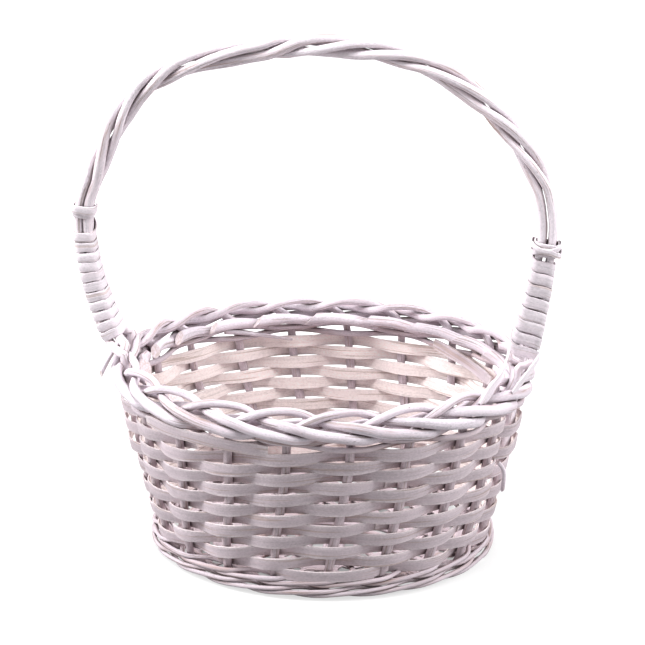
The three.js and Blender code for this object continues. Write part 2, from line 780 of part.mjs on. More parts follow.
function leastGap(frames, perTurn) {
  let least = Infinity;
  for (let i = 0; i < frames.length; i += 1) {
    for (let j = i + Math.round(perTurn * 0.75); j < frames.length; j += 1) {
      const a = frames[i];
      const b = frames[j];
      if (a.point.distanceTo(b.point) < 3 * WRAP_WIDTH) {
        const toward = Math.sign(b.point.clone().sub(a.point).dot(a.along));
        const edgeA = a.point.clone().addScaledVector(a.along, (toward * WRAP_WIDTH) / 2);
        const edgeB = b.point.clone().addScaledVector(b.along, (-toward * WRAP_WIDTH) / 2);
        least = Math.min(least, edgeA.distanceTo(edgeB));
      }
    }
  }
  return least;
}

function makeWraps() {
  const section = flatSection(WRAP_THICKNESS, WRAP_WIDTH);
  const perTurn = 4 * (CORNER_STEPS + 1);
  const wraps = [
    ["handle_wrap_left", wrapFrames(-1, LEFT_WRAP_TURNS, LEFT_WRAP_PITCH, LEFT_WRAP_LONG_STEP)],
    ["handle_wrap_right", wrapFrames(1, RIGHT_WRAP_TURNS, RIGHT_WRAP_PITCH, RIGHT_WRAP_LONG_STEP)],
  ];
  for (const [name, frames] of wraps) {
    addPiece(name, sweep(frames, section), WHITEWASH_BRIGHT, 0.8);
    console.log(`${name}: least gap between its turns ${leastGap(frames, perTurn).toFixed(2)} mm`);
  }
}

makeSticks();
makeBaseWeavers();
makeStakes();
makeHoops();
makeWales();
makeRows();
makeTwines();
makeHandleRods();
makeWraps();

export default basket;
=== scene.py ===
"""A whitewashed willow gift basket.

Every rod and strip is shaped straight, then bent into its place. Sizes are in millimetres, except
in the finishes and the studio, which take metres. Each kind of piece has seeds of its own, so
that its unevenness is the same on every run.
"""

import logging
import math
import random
from dataclasses import dataclass, field
from enum import Enum
from functools import partial
from typing import Callable, Sequence

import bmesh
import bpy
import numpy as np
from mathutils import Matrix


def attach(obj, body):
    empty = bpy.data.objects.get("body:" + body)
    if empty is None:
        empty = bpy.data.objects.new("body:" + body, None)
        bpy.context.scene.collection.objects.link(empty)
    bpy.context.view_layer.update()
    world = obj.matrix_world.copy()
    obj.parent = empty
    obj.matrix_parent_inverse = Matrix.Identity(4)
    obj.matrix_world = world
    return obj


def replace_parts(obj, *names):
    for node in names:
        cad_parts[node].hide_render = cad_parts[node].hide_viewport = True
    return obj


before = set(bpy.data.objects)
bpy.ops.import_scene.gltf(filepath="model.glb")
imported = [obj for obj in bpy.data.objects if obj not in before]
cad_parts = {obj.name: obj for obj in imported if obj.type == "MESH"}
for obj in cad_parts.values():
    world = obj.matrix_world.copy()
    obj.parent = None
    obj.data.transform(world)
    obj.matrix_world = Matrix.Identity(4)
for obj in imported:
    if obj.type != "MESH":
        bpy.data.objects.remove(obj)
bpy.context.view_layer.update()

log = logging.getLogger("basket")

MM = 0.001
TAU = 2 * math.pi
QUARTER = TAU / 4
HALF_ROOT = math.sqrt(0.5)
UP = np.array([0.0, 0.0, 1.0])
FRONT = np.array([0.0, -1.0, 0.0])
LEVEL = np.array([1.0, 1.0, 0.0])

Array = np.ndarray
Number = Array | float
Piece = bpy.types.Object
Socket = bpy.types.NodeSocket
Colour = tuple[float, float, float, float]
Place = tuple[float, float, float]
Places = tuple[Place, ...]
Pair = tuple[float, float]
Several = tuple[float, ...]


# Finishes


def tone(red: int, green: int, blue: int) -> Colour:
    """A colour as seen on a screen, turned into the linear values that shaders take."""

    def linear(value: int) -> float:
        """One channel of it."""
        share = value / 255
        return share / 12.92 if share <= 0.04045 else ((share + 0.055) / 1.055) ** 2.4

    return (linear(red), linear(green), linear(blue), 1.0)


BUD_SCAR = tone(96, 74, 64)
PALE_FIBRE_AND_HIGHLIGHT = tone(240, 230, 232)
# The browns of the painted shade between pieces that lie close.
SHADE_BROWN = tone(104, 82, 76)
DEEP_SHADE_BROWN = tone(78, 60, 60)
BARE_WOOD = tone(150, 122, 106)


class Slot(Enum):
    """The record's material slots."""

    THIN_ROD = "whitewash"
    STRIP = "whitewash_warm"
    ROD = "whitewash_bright"


class Grain(Enum):
    """Patterns in the wood: features per metre along and across it, then detail and roughness."""

    CLOUD = (7, 60, 1, 0.5)
    PATCH = (22, 210, 3, 0.5)
    FIBRE = (26, 600, 4, 0.7)
    HAIR = (90, 2600, 1, 0.5)
    GRIT = (650, 1100, 3, 0.65)
    CRACK = (17, 760, 1, 0.5)
    SCAR = (300, 760, 1, 0.5)
    SPECK = (400, 900, 2, 0.5)


class Signal:
    """A shader socket that takes part in sums and products."""

    def __init__(self, shader: "Shader", socket: Socket) -> None:
        """Wraps one output in a shader."""
        self.shader = shader
        self.socket = socket

    def _join(
        self, operation: str, first: "Signal | float", second: "Signal | float", clamp: bool = False
    ) -> "Signal":
        """A Math node on two values.

        Args:
            operation: the Math node's operation.
            first: the upper input.
            second: the lower input.
            clamp: whether the result is held between 0 and 1.

        Returns:
            The node's output.
        """
        settings = {"operation": operation, "use_clamp": clamp}
        node = self.shader.node("ShaderNodeMath", settings, first, second)
        return Signal(self.shader, node.outputs[0])

    def __add__(self, other: "Signal | float") -> "Signal":
        """Sum."""
        return self._join("ADD", self, other)

    def __radd__(self, other: float) -> "Signal":
        """Sum with a plain number in front."""
        return self._join("ADD", other, self)

    def __sub__(self, other: "Signal | float") -> "Signal":
        """Difference."""
        return self._join("SUBTRACT", self, other)

    def __rsub__(self, other: float) -> "Signal":
        """A plain number less this."""
        return self._join("SUBTRACT", other, self)

    def __mul__(self, other: "Signal | float") -> "Signal":
        """Product."""
        return self._join("MULTIPLY", self, other)

    def __rmul__(self, other: float) -> "Signal":
        """Product with a plain number in front."""
        return self._join("MULTIPLY", other, self)

    def held(self) -> "Signal":
        """The value held between 0 and 1."""
        return self._join("ADD", self, 0.0, clamp=True)

    def above(self, level: float, softness: float) -> "Signal":
        """0 below level, 1 above level + softness, and a ramp between them."""
        return self._join("MULTIPLY", self - level, 1 / softness, clamp=True)


class Shader:
    """The nodes of a material or a world, under construction."""

    def __init__(
        self, owner: bpy.types.Material | bpy.types.World, surface: str = "Principled BSDF"
    ) -> None:
        """Turns on the owner's nodes and takes up its surface node."""
        owner.use_nodes = True
        self.tree = owner.node_tree
        self.surface = self.tree.nodes[surface]

    def feed(self, socket: Socket, value: object) -> None:
        """Links a signal or an output to a socket, or sets a plain value on it.

        Args:
            socket: what is fed.
            value: a signal, an output or a plain value.
        """
        if isinstance(value, Signal):
            value = value.socket
        if isinstance(value, Socket):
            self.tree.links.new(value, socket)
        else:
            socket.default_value = value

    def fill(self, node: bpy.types.Node, **named: object) -> bpy.types.Node:
        """Feeds a node's sockets by their names, with _ for a space.

        Args:
            node: the node.
            named: what feeds each socket.

        Returns:
            The same node.
        """
        for name, value in named.items():
            self.feed(node.inputs[name.replace("_", " ")], value)
        return node

    def node(
        self, kind: str, settings: dict | None = None, *ordered: object, **named: object
    ) -> bpy.types.Node:
        """Adds a node.

        Args:
            kind: the node's type.
            settings: the node's own properties, which are set first.
            ordered: what feeds its first sockets, in their order.
            named: what feeds sockets by their names, with _ for a space.

        Returns:
            The node.
        """
        node = self.tree.nodes.new(kind)
        for key, value in (settings or {}).items():
            setattr(node, key, value)
        for socket, value in zip(node.inputs, ordered):
            self.feed(socket, value)
        return self.fill(node, **named)

    def attribute(self, name: str, output: str = "Fac") -> Signal:
        """What is written on the piece under a name."""
        node = self.node("ShaderNodeAttribute", {"attribute_name": name})
        return Signal(self, node.outputs[output])

    def vector(self, operation: str, *ordered: object, **named: object) -> bpy.types.Node:
        """A Vector Math node."""
        return self.node("ShaderNodeVectorMath", {"operation": operation}, *ordered, **named)

    def noise(self, grain: Grain) -> Signal:
        """One of the wood's patterns, which runs with the piece as it was when straight.

        Args:
            grain: which pattern.

        Returns:
            The pattern, about a half on average.
        """
        along, across, detail, roughness = grain.value
        straight = self.attribute("grain", "Vector")
        stretched = self.vector("MULTIPLY", straight, (along, across, across)).outputs[0]
        values = {"Vector": stretched, "Scale": 1.0, "Detail": detail, "Roughness": roughness}
        return Signal(self, self.node("ShaderNodeTexNoise", **values).outputs["Fac"])

    def hollow(self, reach: float, level: float, softness: float) -> Signal:
        """0 in the open and 1 deep between pieces that lie close, judged within reach metres."""
        node = self.node("ShaderNodeAmbientOcclusion", {"samples": 6}, Distance=reach)
        return (1 - Signal(self, node.outputs["AO"])).above(level, softness)

    def mix(self, share: Signal, first: Colour | Socket, second: Colour | Socket) -> Socket:
        """The first colour with a share of the second over it.

        Args:
            share: 0 for the first colour, 1 for the second.
            first: a colour or an output.
            second: the same.

        Returns:
            The mixed colour's output.
        """
        node = self.node("ShaderNodeMix", {"data_type": "RGBA"}, share)
        # A Mix node's colours are its seventh and eighth sockets, and its third output.
        self.feed(node.inputs[6], first)
        self.feed(node.inputs[7], second)
        return node.outputs[2]

    def relief(self, height: Signal, strength: float, depth: float) -> Socket:
        """A surface that rises and falls with a signal, by depth metres."""
        return self.node(
            "ShaderNodeBump", Strength=strength, Distance=depth, Height=height
        ).outputs["Normal"]


@dataclass(frozen=True)
class Coat:
    """A finish that is ready for use, and the record's slot that it stands for."""

    material: bpy.types.Material
    slot: Slot


@dataclass(frozen=True)
class Whitewash:
    """A matt white wash over peeled willow, rubbed thin in places.

    wash is the full coat, thin the coat rubbed down, bare the wood under it and inner the coat on
    the side that faces into the basket. wear moves all the rubbing, streaks says how much it
    follows the grain, speckle how uneven the coat is and relief how rough it feels. edges adds to
    the rubbing where a piece is marked as worn, and fray_and_highlight shows pale fibres there,
    which also stand for a painted highlight where the edges catch the light. Between pieces that
    lie close the coat is darkened toward brown, a painted shade: painted_shade says how much.
    scars sets how often a small bud scar shows.
    """

    name: str
    slot: Slot
    wash: Colour
    thin: Colour
    bare: Colour
    inner: Colour
    wear: float
    streaks: float
    speckle: float
    relief: float
    edges: float = 0.3
    fray_and_highlight: float = 0.0
    painted_shade: float = 0.75
    scars: float = 0.0
    roughness: float = 0.8
    gloss: float = 0.3

    def coat(self) -> Coat:
        """Mixes the finish.

        Returns:
            The coat.
        """
        material = bpy.data.materials.new(self.name)
        shader = Shader(material)
        patterns = (Grain.PATCH, Grain.CLOUD, Grain.FIBRE, Grain.HAIR, Grain.GRIT)
        patch, cloud, fibre, hair, grit = map(shader.noise, patterns)
        worn, light, inside = map(shader.attribute, ("worn", "light", "inside"))

        # Every pattern averages a half, and the weights of patch, cloud and grit add up to 1.
        middle = 0.5 + self.streaks / 2
        rubbed = patch * 0.55 + fibre * self.streaks + cloud * 0.25 + grit * 0.2
        rubbed = rubbed + worn * self.edges
        thin_share = rubbed.above(middle + 0.02 - self.wear, 0.22)
        bare_share = rubbed.above(middle + 0.2 - self.wear, 0.14) * 0.85
        colour = shader.mix(inside, self.wash, self.inner)
        colour = shader.mix(thin_share * (1 - inside * 0.7), colour, self.thin)
        colour = shader.mix(bare_share * (1 - inside * 0.6), colour, self.bare)
        if self.scars > 0:
            scar = shader.noise(Grain.SCAR).above(0.78 - self.scars, 0.1) * 0.5
            colour = shader.mix(scar, colour, BUD_SCAR)
        # Pale fibres at worn edges and ends, together with a painted highlight where the edges
        # catch the light.
        if self.fray_and_highlight > 0:
            frayed_and_lit = (worn * (grit + 0.4)).held() * self.fray_and_highlight
            colour = shader.mix(frayed_and_lit, colour, PALE_FIBRE_AND_HIGHLIGHT)
        crack = (1 - shader.noise(Grain.CRACK).above(0.33, 0.05)) * 0.5
        colour = shader.mix(crack, colour, self.bare)

        level = light + cloud * 0.3 + grit * self.speckle + fibre * self.streaks
        level = level - 0.15 - self.speckle * 0.5 - self.streaks * 0.5
        colour = shader.vector("SCALE", colour, Scale=level).outputs[0]
        # Painted shade: between pieces that lie close the coat is darkened toward brown, less on
        # the side facing into the basket, and darker still where they almost touch.
        painted_shade = shader.hollow(0.006, 0.36, 0.42) * (1 - inside * 0.6) * self.painted_shade
        colour = shader.mix(painted_shade, colour, SHADE_BROWN)
        deepest_shade = shader.hollow(0.0024, 0.4, 0.36) * self.painted_shade
        colour = shader.mix(deepest_shade, colour, DEEP_SHADE_BROWN)

        height = fibre * 0.5 + hair * 0.25 + grit * 0.45 + patch * 0.4 - crack * 0.8
        shader.fill(
            shader.surface,
            Base_Color=colour,
            Roughness=thin_share * -0.08 + self.roughness,
            Normal=shader.relief(height, self.relief, 0.0006),
            Specular_IOR_Level=self.gloss,
        )
        return Coat(material, self.slot)


@dataclass(frozen=True)
class CutWood:
    """The face of a cut end: raw wood with a trace of wash."""

    name: str = "cut wood"
    heart: Colour = tone(212, 196, 194)
    edge: Colour = tone(230, 220, 226)
    roughness: float = 0.9

    def material(self) -> bpy.types.Material:
        """Mixes the finish.

        Returns:
            The material.
        """
        material = bpy.data.materials.new(self.name)
        shader = Shader(material)
        speck = shader.noise(Grain.SPECK)
        shader.fill(
            shader.surface,
            Base_Color=shader.mix(speck.above(0.4, 0.25), self.heart, self.edge),
            Roughness=self.roughness,
            Normal=shader.relief(speck, 0.4, 0.0004),
        )
        return material


# Working the willow


class Wander:
    """A smooth wander of a hand-worked piece along its length, the same on every run."""

    def __init__(self, seed: int, size: float, wave: float) -> None:
        """Draws the waves.

        Args:
            seed: picks the piece.
            size: about the largest departure.
            wave: the longest wave, in the unit of the length.
        """
        draw = random.Random(seed)
        self.waves = [
            (size * draw.uniform(0.35, 0.7) / k, wave / k, draw.uniform(0, TAU))
            for k in (1.0, 1.9, 3.1)
        ]

    def at(self, place: Number) -> Number:
        """The departure at a place or places."""
        places = np.asarray(place)
        return sum(size * np.sin(TAU * places / wave + start) for size, wave, start in self.waves)


def unit(vectors: Array) -> Array:
    """Rows made one long."""
    return vectors / np.linalg.norm(vectors, axis=-1, keepdims=True)


def outward(points: Array) -> Array:
    """The level way outward from the basket's middle at each place."""
    return unit(points * LEVEL)


def smooth(share: Number) -> Number:
    """A share that leaves 0 and reaches 1 gently."""
    return share * share * (3 - 2 * share)


def distances(points: Array) -> Array:
    """How far along their run the points lie."""
    return np.concatenate([[0.0], np.cumsum(np.linalg.norm(np.diff(points, axis=0), axis=1))])


def softened(values: Array, reach: int = 7) -> Array:
    """Values averaged with their neighbours, reach of them on each side."""
    span = 2 * reach + 1
    return np.convolve(np.pad(values, reach, mode="edge"), np.ones(span) / span, mode="valid")


def swinging(marks: Sequence[tuple[float, float]], at: Array) -> Array:
    """Values that swing from one mark to the next.

    Args:
        marks: pairs of a place and the value there, in order of place.
        at: the places where values are wanted.

    Returns:
        The values.
    """
    places, values = np.array(marks).T
    index = np.clip(np.searchsorted(places, at) - 1, 0, len(places) - 2)
    share = np.clip((at - places[index]) / (places[index + 1] - places[index]), 0, 1)
    share = (1 - np.cos(math.pi * share)) / 2
    return values[index] * (1 - share) + values[index + 1] * share


def evenly(points: Array, step: float, *others: Array) -> list[Array]:
    """Points, and what goes with them, spaced evenly along their run.

    Args:
        points: places in millimetres.
        step: about how far apart the new ones are.
        others: arrays with a row for each place.

    Returns:
        The new places, then the others at them.
    """
    run = distances(points)
    count = max(int(round(run[-1] / step)), 4)
    marks = np.linspace(0, run[-1], count + 1)
    return [
        np.stack([np.interp(marks, run, column) for column in np.atleast_2d(rows.T)], axis=-1)
        for rows in (points, *others)
    ]


def flowing(points: Sequence[Sequence[float]], step: float, fineness: int = 12) -> Array:
    """A smooth run through a few places.

    Args:
        points: the places, in order.
        step: about how far apart the new ones are.
        fineness: how many places the curve takes between two of the given ones.

    Returns:
        The new places, evenly spaced.
    """
    known = np.asarray(points, float)
    known = np.vstack([2 * known[0] - known[1], known, 2 * known[-1] - known[-2]])
    gaps = [math.sqrt(max(np.linalg.norm(b - a), 1e-6)) for a, b in zip(known, known[1:])]
    pieces = []
    for index, (a, b, c, d) in enumerate(zip(known, known[1:], known[2:], known[3:])):
        ta, tb, tc, td = np.cumsum([0.0, *gaps[index : index + 3]])
        t = np.linspace(tb, tc, fineness, endpoint=False)[:, None]
        ab = a * (tb - t) / (tb - ta) + b * (t - ta) / (tb - ta)
        bc = b * (tc - t) / (tc - tb) + c * (t - tb) / (tc - tb)
        cd = c * (td - t) / (td - tc) + d * (t - tc) / (td - tc)
        abc = ab * (tc - t) / (tc - ta) + bc * (t - ta) / (tc - ta)
        bcd = bc * (td - t) / (td - tb) + cd * (t - tb) / (td - tb)
        pieces.append(abc * (tc - t) / (tc - tb) + bcd * (t - tb) / (tc - tb))
    pieces.append(known[-2:-1])
    return evenly(np.vstack(pieces), step)[0]


def only(piece: Piece) -> None:
    """Selects one object and nothing else."""
    bpy.ops.object.select_all(action="DESELECT")
    piece.select_set(True)
    bpy.context.view_layer.objects.active = piece


def coords(piece: Piece) -> Array:
    """The places of a piece's points in metres, a row for each."""
    places = np.empty(len(piece.data.vertices) * 3)
    piece.data.vertices.foreach_get("co", places)
    return places.reshape(-1, 3)


def move_points(piece: Piece, places: Array) -> None:
    """Moves a piece's points to new places."""
    piece.data.vertices.foreach_set("co", places.ravel())
    piece.data.update()


def pick_edges(piece: Piece, wanted: Callable[[Array], bool]) -> None:
    """Selects, in edit mode, the edges whose span passes a test.

    Args:
        piece: the object in edit mode.
        wanted: takes an edge's direction times its length.
    """
    bpy.ops.mesh.select_mode(type="EDGE")
    bpy.ops.mesh.select_all(action="DESELECT")
    net = bmesh.from_edit_mesh(piece.data)
    for edge in net.edges:
        low, high = (np.array(v.co) for v in edge.verts)
        if wanted(high - low):
            edge.select = True
    net.select_flush_mode()
    bmesh.update_edit_mesh(piece.data)


def lengthwise(span: Array) -> bool:
    """Whether an edge runs along the piece."""
    return abs(span[0]) > 4 * math.hypot(span[1], span[2]) + 1e-6


def cut_into(piece: Piece, parts: int) -> None:
    """Divides a straight piece into about so many lengths, by two rounds of loops.

    Args:
        piece: the object in edit mode.
        parts: how many lengths.
    """
    first = max(int(round(math.sqrt(parts))), 2)
    for cuts in (first - 1, max(int(round(parts / first)), 2) - 1):
        pick_edges(piece, lengthwise)
        bpy.ops.mesh.subdivide(number_cuts=cuts)


@dataclass
class Route:
    """Where a straight piece is bent to, and the way its width faces.

    passed, where it matters, counts the stakes passed at each place.
    """

    points: Array
    widthward: Array | None = None
    passed: Array | None = None

    @property
    def length(self) -> float:
        """The length of the run."""
        return float(np.linalg.norm(np.diff(self.points, axis=0), axis=1).sum())

    def facing_up(self, lean: float = 0.18) -> "Route":
        """The same run with its width upright, leaning a little outward."""
        return Route(self.points, UP + lean * outward(self.points))

    def tilts(self) -> Array:
        """The turn at each place that brings the width from upright to where it faces.

        Returns:
            Angles, without jumps.
        """
        if self.widthward is None:
            return np.zeros(len(self.points))
        ahead = unit(np.gradient(self.points, axis=0))
        upright = unit(UP - ahead * ahead[:, 2:3])
        level_part = ahead * np.sum(self.widthward * ahead, axis=1, keepdims=True)
        wide = unit(self.widthward - level_part)
        side = np.cross(ahead, upright)
        return np.unwrap(np.arctan2(np.sum(wide * side, axis=1), np.sum(wide * upright, axis=1)))

    def bend(self, piece: Piece) -> None:
        """Bends a straight piece, whose length runs along X from 0, along the route.

        Args:
            piece: the straight piece.
        """
        curve = bpy.data.curves.new("route", "CURVE")
        curve.dimensions = "3D"
        curve.twist_mode = "MINIMUM" if self.widthward is None else "Z_UP"
        curve.use_path = True
        curve.use_stretch = True
        curve.use_deform_bounds = True
        spline = curve.splines.new("POLY")
        spline.points.add(len(self.points) - 1)
        places = np.ones((len(self.points), 4))
        places[:, :3] = self.points * MM
        spline.points.foreach_set("co", places.ravel())
        spline.points.foreach_set("tilt", self.tilts())
        guide = bpy.data.objects.new("route", curve)
        bpy.context.collection.objects.link(guide)
        only(piece)
        modifier = piece.modifiers.new("bend", "CURVE")
        modifier.object = guide
        modifier.deform_axis = "POS_X"
        bpy.ops.object.modifier_apply(modifier=modifier.name)
        bpy.data.objects.remove(guide)
        bpy.data.curves.remove(curve)


class Maker:
    """Marks the grain of straight pieces, and dresses and fits the bent ones."""

    def __init__(self) -> None:
        """Starts with nothing made."""
        self.made: list[str] = []
        self.cut_wood = CutWood().material()

    def mark(self, piece: Piece, seed: int, worn: Array, inside: Array) -> None:
        """Writes the straight coordinates, the wear and the lightness on a piece.

        Args:
            piece: the straight piece.
            seed: picks the piece's place in the grain and its own lightness.
            worn: how rubbed each point is, 0 to 1; at the edges of strips it also places pale
                fibres and a painted highlight.
            inside: 1 where a point faces into the basket.
        """
        draw = random.Random(seed)
        places = coords(piece)
        shift = np.array([draw.uniform(0, 30), draw.uniform(0, 3), draw.uniform(0, 3)])
        grain = piece.data.attributes.new("grain", "FLOAT_VECTOR", "POINT")
        grain.data.foreach_set("vector", (places + shift).ravel())
        light = draw.uniform(0.93, 1.03) + Wander(seed + 7, 0.035, 130).at(places[:, 0] / MM)
        for name, values in (("worn", worn), ("light", light), ("inside", inside)):
            layer = piece.data.attributes.new(name, "FLOAT", "POINT")
            layer.data.foreach_set("value", np.asarray(values, float))

    def finish(self, piece: Piece, name: str, coat: Coat) -> None:
        """Names, dresses and fixes a bent piece to the basket.

        Args:
            piece: the piece in place.
            name: its name.
            coat: its finish and slot.
        """
        piece.name = name
        piece.data.name = name
        piece.data.materials.clear()
        piece.data.materials.append(coat.material)
        piece.data.materials.append(self.cut_wood)
        only(piece)
        bpy.ops.object.shade_smooth_by_angle(angle=math.radians(42))
        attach(piece, "root")
        self.made.append(name)
        log.info("%s made", name)


@dataclass
class Willow:
    """A length of willow, shaped straight and then bent along its route."""

    name: str
    route: Route
    seed: int
    coat: Coat

    def blank(self) -> Piece:
        """The straight piece, along X from 0."""
        raise NotImplementedError

    def shape(self, piece: Piece) -> tuple[Array, Array]:
        """Gives the straight piece its form, and says how worn and how far inside each point is."""
        raise NotImplementedError

    def trim(self, piece: Piece) -> None:
        """Trims the bent piece, where its kind needs that."""

    def wander(self, stream: int, size: float, wave: float, along: Array) -> Array:
        """One of the piece's own wanders, numbered by stream, at places along it."""
        return Wander(self.seed + stream, size, wave).at(along)

    def make(self, maker: Maker) -> Piece:
        """Shapes, bends and dresses the piece.

        Args:
            maker: does the marking and fitting.

        Returns:
            The finished piece.
        """
        piece = self.blank()
        worn, inside = self.shape(piece)
        maker.mark(piece, self.seed, worn, inside)
        self.route.bend(piece)
        self.trim(piece)
        maker.finish(piece, self.name, self.coat)
        return piece


@dataclass
class Rod(Willow):
    """A round willow rod with a slow wander in its thickness.

    taper lists its thickness along it and butt is that of its first end, as shares of the
    diameter. cuts are the slants of its two ends, in diameters, and trim_slant that of a tip cut
    after bending. The brush hardly reached it up to raw_until from its butt. A face with more
    corners than side_corners is a cut end. swell, knots, twist and rub are wanders: a size and
    the longest wave.
    """

    diameter: float
    sides: int = 12
    taper: Several = (1.03, 0.94)
    butt: float = 1.0
    cuts: Pair = (0.0, 0.0)
    trim_slant: float = 0.0
    raw_until: float = 0.0
    spacing: float = 2.6
    butt_length: float = 14.0
    raw_fade: float = 12.0
    rubbed_end: float = 9.0
    oval: float = 0.05
    swell: Pair = (0.045, 70)
    knots: Pair = (0.02, 17)
    twist: Pair = (2.0, 160)
    rub: Pair = (0.2, 60)
    trim_reach: float = 4.2
    side_corners: int = 6

    def blank(self) -> Piece:
        """The straight rod, along X from 0.

        Returns:
            The object.
        """
        length = self.route.length
        bpy.ops.mesh.primitive_cylinder_add(
            vertices=self.sides,
            radius=self.diameter / 2 * MM,
            depth=length * MM,
            end_fill_type="NGON",
            location=(length / 2 * MM, 0, 0),
            rotation=(0, math.pi / 2, 0),
        )
        rod = bpy.context.object
        bpy.ops.object.transform_apply(location=True, rotation=True, scale=True)
        bpy.ops.object.mode_set(mode="EDIT")
        cut_into(rod, int(length / self.spacing))
        for way, slant in zip((-1, 1), self.cuts):
            if slant:
                self.cut_end(way, slant)
        bpy.ops.object.mode_set(mode="OBJECT")
        return rod

    def cut_end(self, way: int, slant: float) -> None:
        """Cuts an end of the rod in hand on the slant, with a sharp knife's flat face.

        Args:
            way: -1 for the butt and 1 for the tip.
            slant: how far the cut runs along the rod, in diameters.
        """
        reach = self.diameter * slant / 2
        middle = reach if way < 0 else self.route.length - reach
        bpy.ops.mesh.select_all(action="SELECT")
        bpy.ops.mesh.bisect(
            plane_co=(middle * MM, 0, 0),
            plane_no=(way, 0.25 * slant, slant),
            use_fill=True,
            clear_outer=True,
        )

    def shape(self, rod: Piece) -> tuple[Array, Array]:
        """Gives the rod its taper, its knots and its butt.

        Args:
            rod: the straight rod.

        Returns:
            How worn each point is, and 1 where the brush hardly reached.
        """
        places = coords(rod)
        along = places[:, 0] / MM
        length = self.route.length
        share = np.clip(along / length, 0, 1)
        size = np.interp(share, np.linspace(0, 1, len(self.taper)), self.taper)
        size = size + self.wander(0, *self.swell, along) + self.wander(3, *self.knots, along)
        size *= self.butt + (1 - self.butt) * np.clip(along / self.butt_length, 0, 1)
        turn = np.arctan2(places[:, 2], places[:, 1])
        oval = 1 + self.oval * np.cos(2 * turn + self.wander(5, *self.twist, along))
        places[:, 1] *= size * oval
        places[:, 2] *= size * oval
        move_points(rod, places)
        worn = 0.35 * np.clip(1 - np.minimum(along, length - along) / self.rubbed_end, 0, 1)
        worn = worn + np.clip(self.wander(9, *self.rub, along), 0, 1)
        return worn, np.clip((self.raw_until - along) / self.raw_fade, 0, 1)

    def trim(self, rod: Piece) -> None:
        """Trims the tip of the bent rod on the slant, so that its lower side stays longest.

        Args:
            rod: the bent rod.
        """
        if not self.trim_slant:
            return
        tip = self.route.points[-1]
        ahead = unit(tip - self.route.points[-3])
        only(rod)
        bpy.ops.object.mode_set(mode="EDIT")
        bpy.ops.mesh.select_mode(type="FACE")
        bpy.ops.mesh.select_all(action="DESELECT")
        net = bmesh.from_edit_mesh(rod.data)
        for face in net.faces:
            middle = np.array(face.calc_center_median()) / MM
            near = np.linalg.norm(middle - tip) < self.trim_reach * self.diameter
            face.select = bool(near)
        bmesh.update_edit_mesh(rod.data)
        facing = ahead + self.trim_slant * UP + 0.5 * outward(tip)
        bpy.ops.mesh.bisect(
            plane_co=tuple((tip - ahead * (self.diameter * self.trim_slant * 0.6)) * MM),
            plane_no=tuple(facing),
            use_fill=True,
            clear_outer=True,
        )
        bpy.ops.object.mode_set(mode="OBJECT")

    def make(self, maker: Maker) -> Piece:
        """Makes the rod, and leaves its cut ends raw.

        Args:
            maker: does the marking and fitting.

        Returns:
            The finished rod.
        """
        rod = super().make(maker)
        for face in rod.data.polygons:
            if len(face.vertices) > self.side_corners:
                face.material_index = 1
        return rod


@dataclass
class Strip(Willow):
    """A flat split strip with edges that wander.

    A two-sided one shows its inner coat on the side that faces into the basket. ragged is how far
    its edges wander, cup how hollow it is, end_share how wide its ends are, as a share, and
    corner how far its corners are rounded, as a share of its thickness. edge_waves are the long
    and short waves of its upper and its lower edge, cup_change and rub a wander's size and wave.
    """

    width: Number
    thickness: float = 1.0
    two_sided: bool = True
    ragged: float = 0.16
    cup: float = 0.12
    spacing: float = 2.8
    end_share: float = 0.8
    end_length: float = 10.0
    rubbed_end: float = 6.0
    corner: float = 0.18
    edge_waves: tuple[tuple[int, int], ...] = ((46, 9), (52, 8))
    cup_change: Pair = (0.8, 60)
    rub: Pair = (0.4, 50)
    edge_from: float = 0.72

    def blank(self) -> Piece:
        """The straight strip, along X from 0, wide in Z and thin in Y.

        Returns:
            The object.
        """
        length = self.route.length
        wide = float(np.mean(self.width))
        bpy.ops.mesh.primitive_cube_add(size=1, location=(length / 2 * MM, 0, 0))
        strip = bpy.context.object
        strip.scale = (length * MM, self.thickness * MM, wide * MM)
        bpy.ops.object.transform_apply(location=True, rotation=False, scale=True)
        bpy.ops.object.mode_set(mode="EDIT")
        pick_edges(strip, lengthwise)
        bpy.ops.mesh.bevel(offset=self.thickness * self.corner * MM, segments=1, affect="EDGES")
        reach = wide * MM * 0.6
        pick_edges(strip, lambda span: abs(span[2]) > reach)
        bpy.ops.mesh.subdivide(number_cuts=3)
        cut_into(strip, int(length / self.spacing))
        bpy.ops.object.mode_set(mode="OBJECT")
        return strip

    def shape(self, strip: Piece) -> tuple[Array, Array]:
        """Gives the strip its width, cup and ragged edges.

        Args:
            strip: the straight strip.

        Returns:
            How worn each point is, and how far it faces inside.
        """
        places = coords(strip)
        along = places[:, 0] / MM
        length = self.route.length
        widths = np.atleast_1d(self.width)
        sideways = places[:, 2] / (float(np.mean(widths)) / 2 * MM)
        wide = np.interp(along, np.linspace(0, length, len(widths)), widths)
        for near in (along, length - along):
            ended = np.clip(near / self.end_length, 0, 1)
            wide = wide * (self.end_share + (1 - self.end_share) * ended)
        upper, lower = (
            self.wander(stream, self.ragged, slow, along)
            + self.wander(stream + 1, self.ragged * 0.4, quick, along)
            for stream, (slow, quick) in zip((1, 4), self.edge_waves)
        )
        places[:, 2] = sideways * (wide / 2 + np.where(sideways > 0, upper, lower)) * MM
        cup = self.cup * (1 + self.wander(6, *self.cup_change, along))
        places[:, 1] += cup * (sideways**2 - 0.4) * MM
        move_points(strip, places)
        # worn marks the edges and the ends: the coat is rubbed there, and strips show pale fibres
        # and a painted highlight there.
        edge = np.clip((np.abs(sideways) - self.edge_from) / (1 - self.edge_from), 0, 1)
        ends = np.clip(1 - np.minimum(along, length - along) / self.rubbed_end, 0, 1)
        worn = np.maximum(edge * (0.75 + self.wander(8, *self.rub, along)), ends)
        inside = np.clip(places[:, 1] / (self.thickness * 0.5 * MM) * 1.5, 0, 1)
        return np.clip(worn, 0, 1), inside if self.two_sided else 0 * along


# The form of the basket


